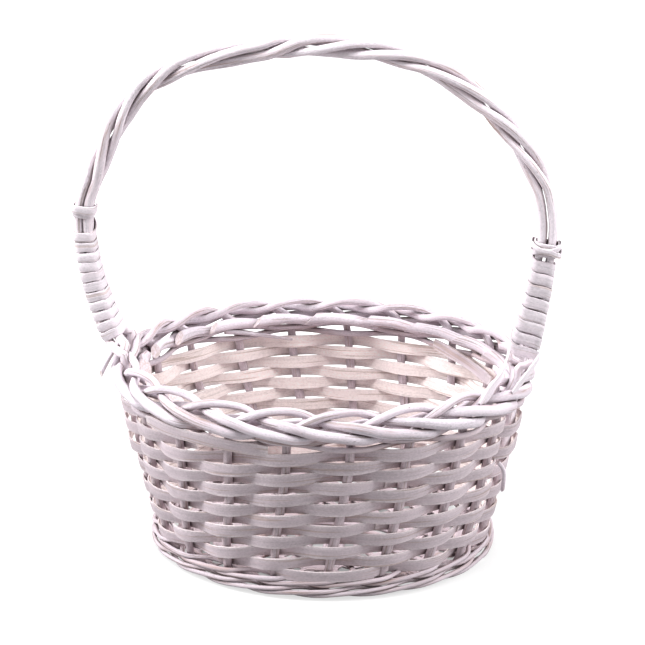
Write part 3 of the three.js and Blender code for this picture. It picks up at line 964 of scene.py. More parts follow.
@dataclass(frozen=True)
class Wall:
    """The wall through the centres of the stakes: an oval that widens as it rises.

    phase and lean, in degrees, turn the first stake at the floor and between floor and rim.
    strays are the stakes' departures from even spacing, in spacings. liner_foot is the height
    that the handle's rods go down to beside their stakes.
    """

    floor_half_length: float = 98.0
    floor_half_width: float = 83.0
    rim_half_length: float = 121.5
    rim_half_width: float = 101.0
    bulge: float = 2.5
    rim_level: float = 123.07
    front_drop: float = 2.2
    back_rise: float = 2.7
    stakes: int = 20
    phase: float = -11.0
    lean: float = 8.0
    strays: Several = (
        (0.0, 0.05, 0.1, 0.14, 0.18, 0.2, 0.18, 0.18, 0.18, 0.15)
        + (0.12, 0.12, 0.12, 0.12, 0.14, 0.08, 0.06, 0.05, 0.04, 0.02)
    )
    stray_at_floor: float = 0.35
    stray_height: float = 50.0
    liner_foot: float = 71.07

    def angle(self, v: Number, z: Number) -> Number:
        """The angle round the oval of a place v stakes along, at height z.

        Args:
            v: stakes along, counted from the first.
            z: the height.

        Returns:
            The angle.
        """
        grown = np.clip(np.asarray(z) / self.stray_height, 0, 1)
        stray = np.interp(v, np.arange(self.stakes), self.strays, period=self.stakes)
        stray = stray * (self.stray_at_floor + (1 - self.stray_at_floor) * grown)
        turned = np.radians(self.phase + self.lean * z / self.rim_level)
        return turned + (v + stray) * (TAU / self.stakes)

    def axes(self, z: Number) -> tuple[Number, Number]:
        """Half the oval's length and width at height z.

        Args:
            z: the height.

        Returns:
            The two halves.
        """
        t = z / self.rim_level
        swell = self.bulge * 4 * t * (1 - t)
        length_gain = self.rim_half_length - self.floor_half_length
        width_gain = self.rim_half_width - self.floor_half_width
        half_length = self.floor_half_length + length_gain * t + swell
        return half_length, self.floor_half_width + width_gain * t + swell

    def place(self, v: Number, z: Number, out: Number = 0.0) -> Array:
        """Points out millimetres outward of the wall, v stakes along, at height z.

        Args:
            v: stakes along, counted from the first.
            z: the height.
            out: the distance outward.

        Returns:
            A place for each.
        """
        v, z, out = np.broadcast_arrays(*(np.asarray(value, float) for value in (v, z, out)))
        a, b = self.axes(z)
        angle = self.angle(v, z)
        normal = unit(np.stack([b * np.cos(angle), a * np.sin(angle)], axis=-1))
        height = np.where(np.sin(angle) > 0, self.back_rise, self.front_drop)
        risen = z + height * (z / self.rim_level) ** 2 * np.sin(angle)
        x = a * np.cos(angle) + out * normal[..., 0]
        y = b * np.sin(angle) + out * normal[..., 1]
        return np.stack([x, y, risen], axis=-1)

    def upward(self, v: Array, z: Array) -> Array:
        """The way up the wall."""
        return unit(self.place(v, z + 1) - self.place(v, z - 1))

    def spacing(self, v: Number, z: Number) -> Number:
        """The length from one stake to the next."""
        a, b = self.axes(z)
        angle = self.angle(v, z)
        return TAU / self.stakes * np.hypot(a * np.sin(angle), b * np.cos(angle))


@dataclass
class Weave:
    """A run over and under the stakes, round the wall.

    first and last are its ends, in stakes. It lies reach from the wall's middle, outside the
    stakes of its parity and inside the others. lap draws its last length inward. liners gives how
    much sooner it turns out at a stake with handle rods beside it, where it lies clearance
    further out.
    """

    wall: Wall
    first: float
    last: float
    level: Callable[[Array], Array]
    parity: int
    reach: float
    lap: float
    seed: int
    liners: Callable[[int, float], float] | None = None
    lift: float = 0.3
    flat: float = 0.06
    lap_length: float = 1.4
    clearance: float = 2.4
    samples_per_stake: int = 22
    spacing: float = 2.0

    def route(self) -> Route:
        """The run's places and the way its width faces.

        Returns:
            The route.
        """
        steps = int((self.last - self.first) * self.samples_per_stake)
        v = np.linspace(self.first, self.last, steps)
        z = self.level(v) + Wander(self.seed + 11, self.lift, 3.7).at(v)
        marks = []
        for stake in range(math.floor(self.first), math.ceil(self.last) + 1):
            out = self.reach if (stake + self.parity) % 2 == 0 else -self.reach
            held = self.liners(stake, float(self.level(np.array([stake]))[0])) if self.liners else 0
            if held and out > 0:
                out += self.clearance
            marks += [(stake - self.flat - held, out), (stake + self.flat, out)]
        out = swinging(marks, v)
        out = out - self.lap * np.clip(self.lap_length - (self.last - v), 0, 1)
        points = self.wall.place(v, z, out)
        points, up, passed = evenly(points, self.spacing, self.wall.upward(v, z), v)
        return Route(points, up, passed[:, 0])


@dataclass
class Base:
    """The woven oval base: sticks crossed in the middle, and two strips woven round them.

    Shares are of the way from the base's centre to the wall. The sticks' ends lie stick_offset
    beside the butts of the stakes, which go insert deep into the base.
    """

    wall: Wall
    level: float = 4.3
    stick_diameter: float = 3.6
    strip_width: float = 6.0
    slath_share: float = 0.36
    slath_runout: float = 5.5
    stick_offset: float = 4.7
    stick_gap: float = 8.0
    insert: float = 24.0
    long_sticks: int = 4
    crossing_gap: float = 0.3
    turns: float = 2.75
    first_share: float = 0.4624
    round_share: float = 0.0795
    flat: float = 0.12
    pair_length: float = 7.5
    stick_lift: float = 1.8
    pair_lift: float = 2.6
    strip_lift: float = 0.8

    def spoke(self, v: Number, share: Number) -> Array:
        """A place in the base, a share of the way from its centre to the wall."""
        point = self.wall.place(v, self.level)
        return point * np.stack([share, share, np.ones_like(share)], axis=-1)

    def beside(self, v: float, share: float) -> Array:
        """A place beside a spoke."""
        point = self.spoke(v, share)
        way = outward(point)
        return point + self.stick_offset * np.array([way[1], -way[0], 0.0])

    def stick_end(self, v: float, lift: float) -> list[Array]:
        """Half a stick, from beside a stake's butt to the crossed middle.

        Args:
            v: the stake.
            lift: how far over the base's level it crosses.

        Returns:
            Its places.
        """
        reach = float(np.linalg.norm(self.spoke(v, 1.0)[:2]))
        kink = self.spoke(v, self.slath_share)
        kink[2] = self.level + lift
        return [
            self.beside(v, 1 - self.stick_gap / reach),
            self.beside(v, 1 - self.insert / reach),
            self.spoke(v, self.slath_share + self.slath_runout / reach),
            kink,
        ]

    def build(self, maker: Maker, rods: Coat, strips: Coat) -> None:
        """Makes the sticks and the two woven strips.

        Args:
            maker: does the marking and fitting.
            rods: the finish of the sticks.
            strips: the finish of the strips.
        """
        half = self.wall.stakes // 2
        lift = (self.stick_diameter + self.crossing_gap) / 2
        middle = self.long_sticks // 2
        sticks = [
            (f"long_stick_{i + 1}", i + 1 - middle, half + 1, lift) for i in range(self.long_sticks)
        ]
        sticks += [
            (f"short_stick_{i + 1}", i + 1 + middle, 1, -lift)
            for i in range(half - self.long_sticks)
        ]
        for index, (node, start, turn, up) in enumerate(sticks):
            places = self.stick_end(start, up) + self.stick_end(turn - start, up)[::-1]
            route = Route(flowing(places, 3.0))
            stick = Rod(f"{node}_rod", route, 300 + index, rods, self.stick_diameter, sides=10)
            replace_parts(stick.make(maker), node)
        for index in range(2):
            node = f"base_weaver_{index + 1}"
            route = self.spiral(index)
            width = self.strip_width
            strip = Strip(f"{node}_strip", route, 340 + index, strips, width, two_sided=False)
            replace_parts(strip.make(maker), node)

    def spiral(self, weaver: int) -> Route:
        """The run of one of the two strips, outward over and under the spokes.

        Args:
            weaver: 0 or 1, which of the two.

        Returns:
            The route.
        """
        stakes = self.wall.stakes
        start = weaver * stakes // 2
        marks = []
        for i in range(int(self.turns * stakes) + 1):
            share = self.first_share + 2 * self.round_share * i / stakes
            reach = float(np.linalg.norm(self.spoke(start + i, share)[:2]))
            paired = share > 1 - (self.insert + self.strip_width) / (reach / share)
            before = self.pair_length * stakes / TAU / reach if paired else self.flat
            lift = (self.pair_lift if paired else self.stick_lift) + self.strip_lift
            lift *= 1 if (i + weaver) % 2 == 0 else -1
            marks += [(i - before, lift), (i + self.flat, lift)]
        passed = np.linspace(marks[0][0], marks[-1][0], 1400)
        shares = self.first_share + 2 * self.round_share * passed / stakes
        points = self.spoke(start + passed, shares)
        points[:, 2] += swinging(marks, passed)
        points, way = evenly(points, 2.2, points * LEVEL)
        return Route(points, unit(way))


# A stake's run in the border: stakes passed, then how far out of the wall and how far below the
# rim it lies, both in strand spacings. It goes behind one stake, before two and in behind the next.
BORDER_RUN = (
    (0, 0, 2.2), (0.1, 0.1, 1.7), (0.2, 0.14, 1.22), (0.33, 0.12, 0.74),
    (0.5, -0.12, 0.34), (0.75, -0.6, 0.14), (1.0, -0.9, 0.2), (1.2, -0.98, 0.48),
    (1.35, -0.76, 0.84), (1.5, -0.38, 1.12), (1.65, 0.06, 1.2), (1.8, 0.5, 1.18),
    (1.95, 0.86, 1.2), (2.1, 1.08, 1.34), (2.45, 1.18, 1.88), (2.82, 1.14, 2.3),
    (3.15, 0.95, 2.62), (3.38, 0.0, 2.72), (3.56, -0.8, 2.5), (3.8, -1.14, 2.18),
    (4.1, -1.42, 1.96), (4.5, -1.94, 1.84), (4.85, -2.35, 1.8),
)


@dataclass
class Stakes:
    """The stakes: each is a base rod, a wall rod and a strand of the border in one.

    bend_shares and wall_shares are where along the bend and up the wall its places are given. Each
    stake draws its thickness from girths, as shares, and the slant of its tip from slants.
    """

    wall: Wall
    base: Base
    diameter: float = 5.4
    bend: float = 4.2
    bend_shares: Several = (0, 0.33, 0.67, 1)
    run_in: float = 14.0
    wall_shares: Several = (0.25, 0.5, 0.75)
    wall_stray: float = 0.035
    wall_wobble: float = 0.2
    strand_spacing: float = 5.65
    strand_wobble: float = 0.03
    girths: Pair = (0.95, 1.06)
    slants: Pair = (2.2, 3.2)
    taper: Several = (0.85, 0.95, 1.0, 0.9, 0.88, 1.16, 1.23, 1.3)
    butt: float = 0.62
    raw_until: float = 138.0

    def route(self, stake: int) -> Route:
        """The whole run of one stake.

        Args:
            stake: which, from 0.

        Returns:
            The route.
        """
        draw = random.Random(900 + stake)
        corner = self.base.spoke(stake, 1.0)
        inward = -outward(corner)
        places = [corner + inward * self.base.insert, corner + inward * self.run_in]
        for t in self.bend_shares:
            point = self.wall.place(stake, self.base.level + self.bend * t * t)
            places.append(point + inward * self.bend * (1 - t) * (1 - t))
        low = self.base.level + self.bend
        high = self.wall.rim_level - BORDER_RUN[0][2] * self.strand_spacing
        for t in self.wall_shares:
            v = stake + draw.uniform(-self.wall_stray, self.wall_stray)
            out = draw.uniform(-self.wall_wobble, self.wall_wobble)
            places.append(self.wall.place(v, low + (high - low) * t, out))
        for passed, out, down in BORDER_RUN:
            down = down + self.strand_wobble * draw.uniform(-1, 1)
            level = self.wall.rim_level - down * self.strand_spacing
            places.append(self.wall.place(stake + passed, level, out * self.strand_spacing))
        return Route(flowing(places, 2.0))

    def build(self, maker: Maker, coat: Coat) -> None:
        """Makes the stakes.

        Args:
            maker: does the marking and fitting.
            coat: their finish.
        """
        for stake in range(self.wall.stakes):
            draw = random.Random(500 + stake)
            node = f"stake_{stake + 1:02d}"
            rod = Rod(
                f"{node}_rod",
                self.route(stake),
                1000 + 20 * stake,
                coat,
                self.diameter * draw.uniform(*self.girths),
                taper=self.taper,
                butt=self.butt,
                trim_slant=draw.uniform(*self.slants),
                raw_until=self.raw_until,
            )
            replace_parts(rod.make(maker), node)


@dataclass
class Rows:
    """Two chains of flat strip that chase each other up the wall.

    Both climb by two rows in each round, between the stakes of climb. ends lists, for each chain,
    the stakes at which its strips begin and the last one ends, counted on from round to round.
    """

    wall: Wall
    count: int = 12
    first_level: float = 16.2
    pitch: float = 7.2
    bow: float = 1.8
    climb: tuple[int, int] = (12, 16)
    ends: tuple[tuple[int, ...], ...] = (
        (17, 39, 57, 75, 97, 113, 133),
        (14, 34, 50, 72, 88, 112, 132),
    )
    reach: float = 3.4
    lap: float = 1.3
    handle_stakes: tuple[int, ...] = (0, 1, 10, 11)
    liner_width: float = 12.5

    def level(self, chain: int, v: Array) -> Array:
        """The height of a chain at places round the wall, counted on from round to round.

        Args:
            chain: 0 or 1.
            v: the places, in stakes.

        Returns:
            The heights.
        """
        past = (np.asarray(v, float) - self.climb[1]) / self.wall.stakes
        rounds = np.floor(past)
        climb = self.climb[1] - self.climb[0]
        beyond = (past - rounds) * self.wall.stakes - (self.wall.stakes - climb)
        share = np.clip(beyond / climb, 0, 1)
        rows = np.maximum(chain + 2 * (rounds + smooth(share)), -0.2)
        bow = self.bow * np.sin(math.pi * np.clip(rows / (self.count - 1), 0, 1))
        return self.first_level + rows * self.pitch + bow

    def liners(self, stake: int, z: float) -> float:
        """How much longer a float is where handle rods stand beside a stake, in stakes.

        Args:
            stake: the stake.
            z: the row's height there.

        Returns:
            The length, or 0 where none stand.
        """
        held = any((stake - other) % self.wall.stakes == 0 for other in self.handle_stakes)
        if not held or z <= self.wall.liner_foot - 6:
            return 0.0
        return self.liner_width / float(self.wall.spacing(stake, z))

    def build(self, maker: Maker, coat: Coat) -> None:
        """Makes the strips, chain by chain.

        Args:
            maker: does the marking and fitting.
            coat: their finish.
        """
        for row in range(self.count):
            chain, strip = row % 2, row // 2
            first, last = self.ends[chain][strip : strip + 2]
            final = strip + 2 == len(self.ends[chain])
            weave = Weave(
                self.wall,
                first - 0.3,
                last + 0.35,
                partial(self.level, chain),
                parity=chain,
                reach=self.reach,
                lap=0.0 if final else self.lap,
                seed=60 * row,
                liners=self.liners,
            )
            route = weave.route()
            snug = 1.0 + 0.14 * np.cos(math.pi * route.passed) ** 2
            width = self.pitch * snug + Wander(2000 + row, 0.25, 5.0).at(route.passed)
            node = f"row_{row + 1:02d}"
            piece = Strip(f"{node}_strip", route, 2000 + 20 * row, coat, width)
            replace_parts(piece.make(maker), node)


@dataclass
class Waling:
    """Three thin rods, each in front of two stakes and behind one, that climb over each other."""

    wall: Wall
    name: str
    nodes: tuple[str, ...]
    level: float
    diameter: float = 2.9
    outer: float = 4.7
    inner: float = -4.2
    start: int = 0
    lap: float = 0.6
    steepness: float = 2.2
    samples: int = 620

    def route(self, rod: int) -> Route:
        """The run of one of the three rods.

        Args:
            rod: which, from 0.

        Returns:
            The route.
        """
        first = self.start + rod
        v = np.linspace(first, first + self.wall.stakes + self.lap, self.samples)
        phase = (v - first) % 3
        swing = self.steepness * np.sin(math.pi * np.clip(phase / 2, 0, 1))
        out = softened(self.inner + (self.outer - self.inner) * np.clip(swing, 0, 1))
        rise = np.interp(phase, (0, 2, 3), (-1, 1, -1))
        wobble = Wander(50 + rod + 9 * self.start, 0.35, 4.3).at(v)
        z = softened(self.level + rise * self.diameter * 0.96 + wobble)
        points = self.wall.place(v + 0.5, z, out + Wander(77 + rod, 0.25, 5).at(v))
        return Route(evenly(points, 2.2)[0])

    def build(self, maker: Maker, coat: Coat) -> None:
        """Makes the three rods, of which the first two stand for nodes.

        Args:
            maker: does the marking and fitting.
            coat: their finish.
        """
        made = [
            Rod(
                f"{self.name}_{rod + 1}_rod",
                self.route(rod),
                4000 + 40 * rod + 7 * self.start,
                coat,
                self.diameter,
                sides=10,
                cuts=(1.5, 1.5),
            ).make(maker)
            for rod in range(3)
        ]
        for piece, node in zip(made, self.nodes):
            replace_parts(piece, node)


@dataclass
class Twining:
    """Two thin rods twined in and out of the stakes under the border."""

    wall: Wall
    levels: Pair = (101.4, 105.4)
    diameter: float = 3.8
    reach: float = 4.5
    lap: float = 3.4

    def build(self, maker: Maker, coat: Coat) -> None:
        """Makes the two rods.

        Args:
            maker: does the marking and fitting.
            coat: their finish.
        """
        for index, height in enumerate(self.levels):
            weave = Weave(
                self.wall,
                1 + index - 0.3,
                1 + self.wall.stakes + index + 0.3,
                partial(np.full_like, fill_value=height),
                parity=index,
                reach=self.reach,
                lap=self.lap,
                seed=800 + index,
                lift=0.35,
            )
            node = f"twine_{index + 1}"
            rod = Rod(
                f"{node}_rod",
                Route(weave.route().points),
                5000 + 31 * index,
                coat,
                self.diameter,
                sides=10,
                cuts=(1.5, 1.5),
            )
            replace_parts(rod.make(maker), node)


# The middle of the handle, from its left foot to its right: x and z in millimetres.
HANDLE_LINE = (
    (-122.0, 121.0), (-125.5, 125.0), (-132.0, 136.0), (-139.0, 155.0), (-143.5, 172.0),
    (-146.0, 192.0), (-145.5, 210.0), (-139.0, 229.0), (-131.0, 248.0), (-121.0, 267.0),
    (-106.0, 285.0), (-84.0, 297.5), (-55.0, 305.5), (-25.0, 310.0), (5.0, 311.8),
    (34.0, 309.5), (62.0, 301.5), (82.0, 291.0), (99.0, 277.5), (112.0, 263.0),
    (123.0, 247.0), (130.5, 231.0), (134.0, 214.0), (134.5, 203.0), (133.0, 189.0),
    (130.0, 168.0), (126.5, 150.0), (123.5, 136.0), (121.5, 126.0), (120.5, 121.0),
)


@dataclass
class Bundle:
    """The handle's bundle of rods at places along it.

    centre, outward and ahead place it, radius and turn place the rods about it, and front_apart and
    back_apart are how far the two pairs stand off toward the foot.
    """

    centre: Array
    outward: Array
    ahead: Array
    radius: Array
    turn: Array
    front_apart: Array
    back_apart: Array


@dataclass(frozen=True)
class Binding:
    """How a foot of the handle is bound: close turns up from its start, then a long one.

    pitch is the rise of a close turn and step that of the long one. slope is how far the close
    turns lie aslant, and rest how many turns follow them.
    """

    side: str
    start: float
    turns: float
    pitch: float
    step: float
    width: float
    slope: float
    route_seed: int
    strip_seed: int
    rest: float = 2.1
    fineness: int = 60

    @property
    def right(self) -> bool:
        """Whether it is at the right foot."""
        return self.side == "right"


@dataclass
class Handle:
    """The arch handle: four rods twisted together, bound with strip at both feet.

    The rods lie tight about the middle line, and the left and right spread is added under the
    bindings. twist_marks are the lengths along the handle at which it has made another quarter
    turn, and slack_marks those between which its rods lie slack. fan_shares and liner_shares are
    where a rod's places are given from the binding down to the border, and on down the wall.
    """

    wall: Wall
    rod_diameter: float = 5.3
    tight: float = 4.0
    left_spread: float = 0.7
    right_spread: float = 4.4
    fan_height: float = 8.0
    foot_spread: float = 0.3
    wrap_length: float = 76.0
    left_binding: Binding = Binding("left", 11.6, 10.5, 6.25, 13.5, 5.7, 1.9, 70, 7000)
    right_binding: Binding = Binding("right", 10.2, 7.5, 7.55, 7.0, 6.9, 0.0, 71, 7060)
    knot_width: float = 3.2
    knot_thickness: float = 0.9
    knot_rise: float = 1.4
    girths: Several = (1.0, 1.1, 0.95, 1.05)
    twist_marks: Several = (
        (112.0, 145.0, 180.0, 204.0, 258.0, 278.0)
        + (316.0, 347.0, 392.0, 424.0, 456.0)
    )
    slack_marks: Several = (100.0, 135.0, 450.0, 490.0)
    fan_shares: Several = (0.25, 0.45, 0.65, 0.85, 1.0)
    fan_swing: float = 0.7
    liner_shares: Several = (0.33, 0.67, 1.0)
    binding_gap: float = 0.55
    knots: tuple[Pair, ...] = ((2.6, 2.8), (-2.6, 3.5))
    above_rim: float = 2.6
    liner_pitch: float = 5.5
    line: Array = field(init=False)
    run: Array = field(init=False)

    def __post_init__(self) -> None:
        """Smooths the centre line."""
        self.line = flowing([(x, 0.0, z) for x, z in HANDLE_LINE], 1.0)
        self.run = distances(self.line)

    @property
    def length(self) -> float:
        """The length of the centre line."""
        return float(self.run[-1])

    def pair_stake(self, right: bool, front: bool) -> int:
        """The stake that the front or back pair of rods goes down beside."""
        return (0 if right else self.wall.stakes // 2) + (1 if front != right else 0)

    def liner(self, stake: int, rank: int, z: float) -> Array:
        """A rod's place beside a stake, at height z: rank 1 touches the stake, 2 the first rod."""
        offset = self.liner_pitch * rank
        return self.wall.place(stake - offset / float(self.wall.spacing(stake, z)), z)

    def liners(self, right: bool, front: bool) -> list[Array]:
        """Where the two rods of a pair go in behind the border."""
        stake = self.pair_stake(right, front)
        return [self.liner(stake, rank, self.wall.rim_level + self.above_rim) for rank in (1, 2)]

    def bundle(self, along: Array) -> Bundle:
        """The bundle at lengths from the left foot.

        Args:
            along: the lengths.

        Returns:
            The bundle there.
        """
        centre, ahead = (
            np.stack([np.interp(along, self.run, column) for column in rows.T], axis=-1)
            for rows in (self.line, np.gradient(self.line, axis=0))
        )
        ahead = unit(ahead)
        outer = np.stack([-ahead[:, 2], np.zeros(len(along)), ahead[:, 0]], axis=-1)
        rightward = along > self.length / 2
        near = np.minimum(along, self.length - along)
        loose = 1 - np.clip((near - self.fan_height) / self.wrap_length, 0, 1)
        radius = self.tight + np.where(rightward, self.right_spread, self.left_spread) * loose
        quarters = np.arange(len(self.twist_marks)) * QUARTER
        turn = -np.interp(along, self.twist_marks, quarters)
        apart = []
        for front in (True, False):
            left, right = (
                abs(float(sum(place[1] for place in self.liners(side, front)))) / 2
                for side in (False, True)
            )
            reach = np.where(rightward, right, left)
            apart.append(self.foot_spread * loose * loose * (reach - radius * HALF_ROOT))
        return Bundle(centre, outer, ahead, radius, turn, *apart)

    def rod_route(self, phase: float, seed: int) -> Route:
        """The run of one rod, from the wall up over the arch and down into the wall.

        Args:
            phase: its place in the bundle, as an angle.
            seed: picks its slack.

        Returns:
            The route.
        """
        along = np.arange(self.fan_height, self.length - self.fan_height, 2.0)
        bundle = self.bundle(along)
        slack = np.interp(along, self.slack_marks, (0, 1, 1, 0))
        radius = bundle.radius + slack * (0.35 + Wander(seed, 0.5, 90).at(along))
        turn = phase + bundle.turn + slack * Wander(seed + 1, 0.16, 120).at(along)
        apart = np.where(np.sin(turn) > 0, bundle.front_apart, -bundle.back_apart)
        forward = radius * np.sin(turn) + apart
        arch = bundle.centre + bundle.outward * (radius * np.cos(turn))[:, None]
        arch = arch + FRONT * forward[:, None]
        left = self.fan(self.fan_height, phase + bundle.turn[0], False)
        right = self.fan(self.length - self.fan_height, phase + bundle.turn[-1], True)
        return Route(evenly(np.vstack([left[::-1], arch, right]), 2.0)[0])

    def fan(self, along: float, phase: float, right: bool) -> Array:
        """From the binding's foot down beside a stake.

        Args:
            along: the place of the binding's foot on the handle.
            phase: the rod's place in the bundle.
            right: whether this is the right foot.

        Returns:
            Points downward.
        """
        bundle = self.bundle(np.array([along]))
        front = math.sin(phase) > 0
        outer = math.cos(phase) > 0
        rank = 1 if outer == (front != right) else 2
        slots = self.liners(right, front)
        middle_low = (slots[0] + slots[1]) / 2
        half_low = slots[rank - 1] - middle_low
        half = bundle.radius[0] * HALF_ROOT
        middle_high = bundle.centre[0].copy()
        middle_high[1] = -half - bundle.front_apart[0] if front else half + bundle.back_apart[0]
        half_high = bundle.outward[0] * (half if outer else -half)
        points = []
        for t in self.fan_shares:
            # The pair moves over first, and then swings from across the handle to along the wall.
            moved = smooth(min(t / self.fan_swing, 1.0))
            swing = QUARTER * smooth(max(t - 1 + self.fan_swing, 0.0) / self.fan_swing)
            middle = middle_high + (middle_low - middle_high) * moved
            middle[2] = middle_high[2] + (middle_low[2] - middle_high[2]) * t
            points.append(middle + half_high * math.cos(swing) + half_low * math.sin(swing))
        top = self.wall.rim_level + self.above_rim
        for t in self.liner_shares:
            height = top + (self.wall.liner_foot - top) * t
            points.append(self.liner(self.pair_stake(right, front), rank, height))
        return np.array(points)

    def wrap_route(self, binding: Binding) -> Route:
        """The run of a binding round the four rods, close turns and then a long one.

        Args:
            binding: the binding.

        Returns:
            The route.
        """
        turns, seed = binding.turns, binding.route_seed
        last = turns + binding.rest
        turned = np.linspace(0, last, int(last * binding.fineness))
        height = binding.start + np.minimum(turned, turns) * binding.pitch
        height = height + np.clip((turned - turns) * 2, 0, 1) * binding.step
        height = height + np.clip(turned - turns - 0.5, 0, 2) * 1.5
        height = height + Wander(seed, 0.3, 3.3).at(turned)
        aslant = binding.slope * np.cos(turned * TAU)
        height = height + aslant * np.clip((turns + 0.4 - turned) * 2, 0, 1)
        swell = self.rod_diameter / 2 + self.binding_gap + Wander(seed + 5, 0.15, 1.7).at(turned)
        swell = swell + 0.9 * np.clip((turned - turns - 1.3) * 4, 0, 1)
        return self.around(self.length - height if binding.right else height, turned, swell)

    def knot_route(self, tilt: float, over: float) -> Route:
        """One turn laid aslant over the top of the right binding.

        Args:
            tilt: how much higher it lies at the outer side.
            over: how far it lies out from the rods.

        Returns:
            The run.
        """
        turned = np.linspace(0.55, 1.62, 80)
        under = self.right_binding
        top = under.start + under.turns * under.pitch + under.step + self.knot_rise
        height = top + tilt * np.cos(turned * TAU)
        return self.around(self.length - height, turned, self.rod_diameter / 2 + over)

    def around(self, along: Array, turned: Array, swell: Number) -> Route:
        """A run round the four rods.

        Args:
            along: its places along the handle.
            turned: its turns round the handle at them, from the outer side to the front.
            swell: how far it lies out from the middles of the rods.

        Returns:
            The run.
        """
        bundle = self.bundle(along)
        quarter = (np.floor(turned * 4) + 0.5) * QUARTER
        angle = turned * TAU
        square = bundle.radius * HALF_ROOT
        front, back = square + bundle.front_apart, -square - bundle.back_apart
        forward = np.where(np.sin(quarter) > 0, front, back)
        corner = bundle.centre + bundle.outward * (np.sign(np.cos(quarter)) * square)[:, None]
        corner = corner + FRONT * forward[:, None]
        circle = bundle.outward * np.cos(angle)[:, None] + FRONT * np.sin(angle)[:, None]
        points = corner + circle * np.broadcast_to(swell, len(along))[:, None]
        return Route(*evenly(points, 1.2, bundle.ahead))

    def build(self, maker: Maker, rods: Coat, strips: Coat) -> None:
        """Makes the four rods, the two bindings and the knot over the right one.

        Args:
            maker: does the marking and fitting.
            rods: the finish of the rods.
            strips: the finish of the bindings.
        """
        for index, girth in enumerate(self.girths):
            node, seed = f"handle_rod_{index + 1}", 6000 + 50 * index
            route = self.rod_route(math.pi / 4 + index * QUARTER, seed)
            rod = Rod(f"{node}_willow", route, seed, rods, self.rod_diameter * girth)
            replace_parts(rod.make(maker), node)
        for binding in (self.left_binding, self.right_binding):
            node = f"handle_wrap_{binding.side}"
            strip = Strip(
                f"{node}_strip",
                self.wrap_route(binding),
                binding.strip_seed,
                strips,
                binding.width,
                two_sided=False,
                ragged=0.25,
                cup=0.25,
                spacing=1.8,
            )
            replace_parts(strip.make(maker), node)
        for index, (tilt, over) in enumerate(self.knots):
            Strip(
                f"knot_strip_{index + 1}",
                self.knot_route(tilt, over),
                7200 + 40 * index,
                strips,
                self.knot_width,
                self.knot_thickness,
                two_sided=False,
            ).make(maker)


@dataclass
class LooseEnds:
    """What stands off the weave: strips, tips and a spur, and the straps at the right foot.

    Places on the wall are stakes along, height and distance outward. The straps and the spur are
    given as x, y and z.
    """

    wall: Wall
    strip_width: float = 7.4
    strap_width: float = 5.4
    strap_thickness: float = 1.2
    tuck: Places = (
        (12.3, 99.6, 4.6),
        (12.9, 100.4, 6.2),
        (13.7, 100.6, 6.2),
        (14.3, 99.4, 4.4),
        (14.7, 98.6, 2.2),
    )
    first_turn: Places = (
        (14.85, 15.6, -1.0),
        (15.2, 15.4, 3.2),
        (15.65, 15.2, 4.8),
        (16.35, 15.6, 4.8),
        (16.8, 16.6, 3.2),
        (17.15, 17.2, -1.0),
    )
    loose_strip: Places = (
        (3.25, 103.5, -6.6),
        (2.88, 100.6, -6.4),
        (2.34, 97.2, -6.2),
        (1.62, 93.6, -5.6),
    )
    loose_tail: Places = (
        (7.28, 107.5, -6.0),
        (7.02, 106.0, -7.0),
        (6.56, 102.2, -7.0),
        (6.0, 98.0, -6.6),
    )
    hanging: Places = (
        (19.3, 70.0, 3.0),
        (19.42, 65.0, 6.0),
        (19.5, 58.0, 7.4),
        (19.55, 49.5, 8.2),
    )
    back_strap: Places = (
        (114.0, -12.0, 133.0),
        (113.0, -25.0, 130.0),
        (111.0, -39.0, 127.6),
        (106.0, -53.0, 124.0),
        (100.5, -63.0, 117.0),
    )
    front_strap: Places = (
        (132.0, -13.0, 130.5),
        (128.5, -22.0, 127.0),
        (123.5, -32.0, 122.5),
        (118.0, -41.0, 117.0),
    )
    spur: Places = (
        (-122.0, -13.0, 130.0),
        (-127.0, -16.0, 123.0),
        (-131.5, -17.0, 115.0),
        (-135.5, -18.0, 106.5),
    )

    def on_wall(self, places: Places) -> Route:
        """A run through places on the wall."""
        return Route(flowing([self.wall.place(*place) for place in places], 2.0))

    def build(self, maker: Maker, rods: Coat, strips: Coat, straps: Coat) -> None:
        """Makes the loose ends.

        Args:
            maker: does the marking and fitting.
            rods: the finish of the tips.
            strips: the finish of the strips.
            straps: the finish of the straps.
        """
        for name, places, seed, width in (
            ("tucked_strip", self.tuck, 8100, self.strip_width + 0.2),
            ("first_strip", self.first_turn, 8115, self.strip_width),
            ("loose_strip", self.loose_strip, 8130, self.strip_width),
        ):
            Strip(name, self.on_wall(places).facing_up(), seed, strips, width).make(maker)
        tail, hanging = self.on_wall(self.loose_tail), self.on_wall(self.hanging)
        spur = Route(flowing(self.spur, 2.0))
        Rod("loose_tail_rod", tail, 8160, rods, 4.4, taper=(1.0, 0.7, 0.35)).make(maker)
        Rod("hanging_rod", hanging, 8190, rods, 2.6, cuts=(0.0, 1.5)).make(maker)
        Rod("spur_rod", spur, 8220, rods, 3.6, taper=(1.0, 0.8), cuts=(0.0, 2.0)).make(maker)
        for index, places in enumerate((self.back_strap, self.front_strap)):
            Strip(
                f"strap_{index + 1}",
                Route(flowing(places, 2.0)).facing_up(),
                8250 + 30 * index,
                straps,
                self.strap_width,
                self.strap_thickness,
                two_sided=False,
            ).make(maker)


# The studio


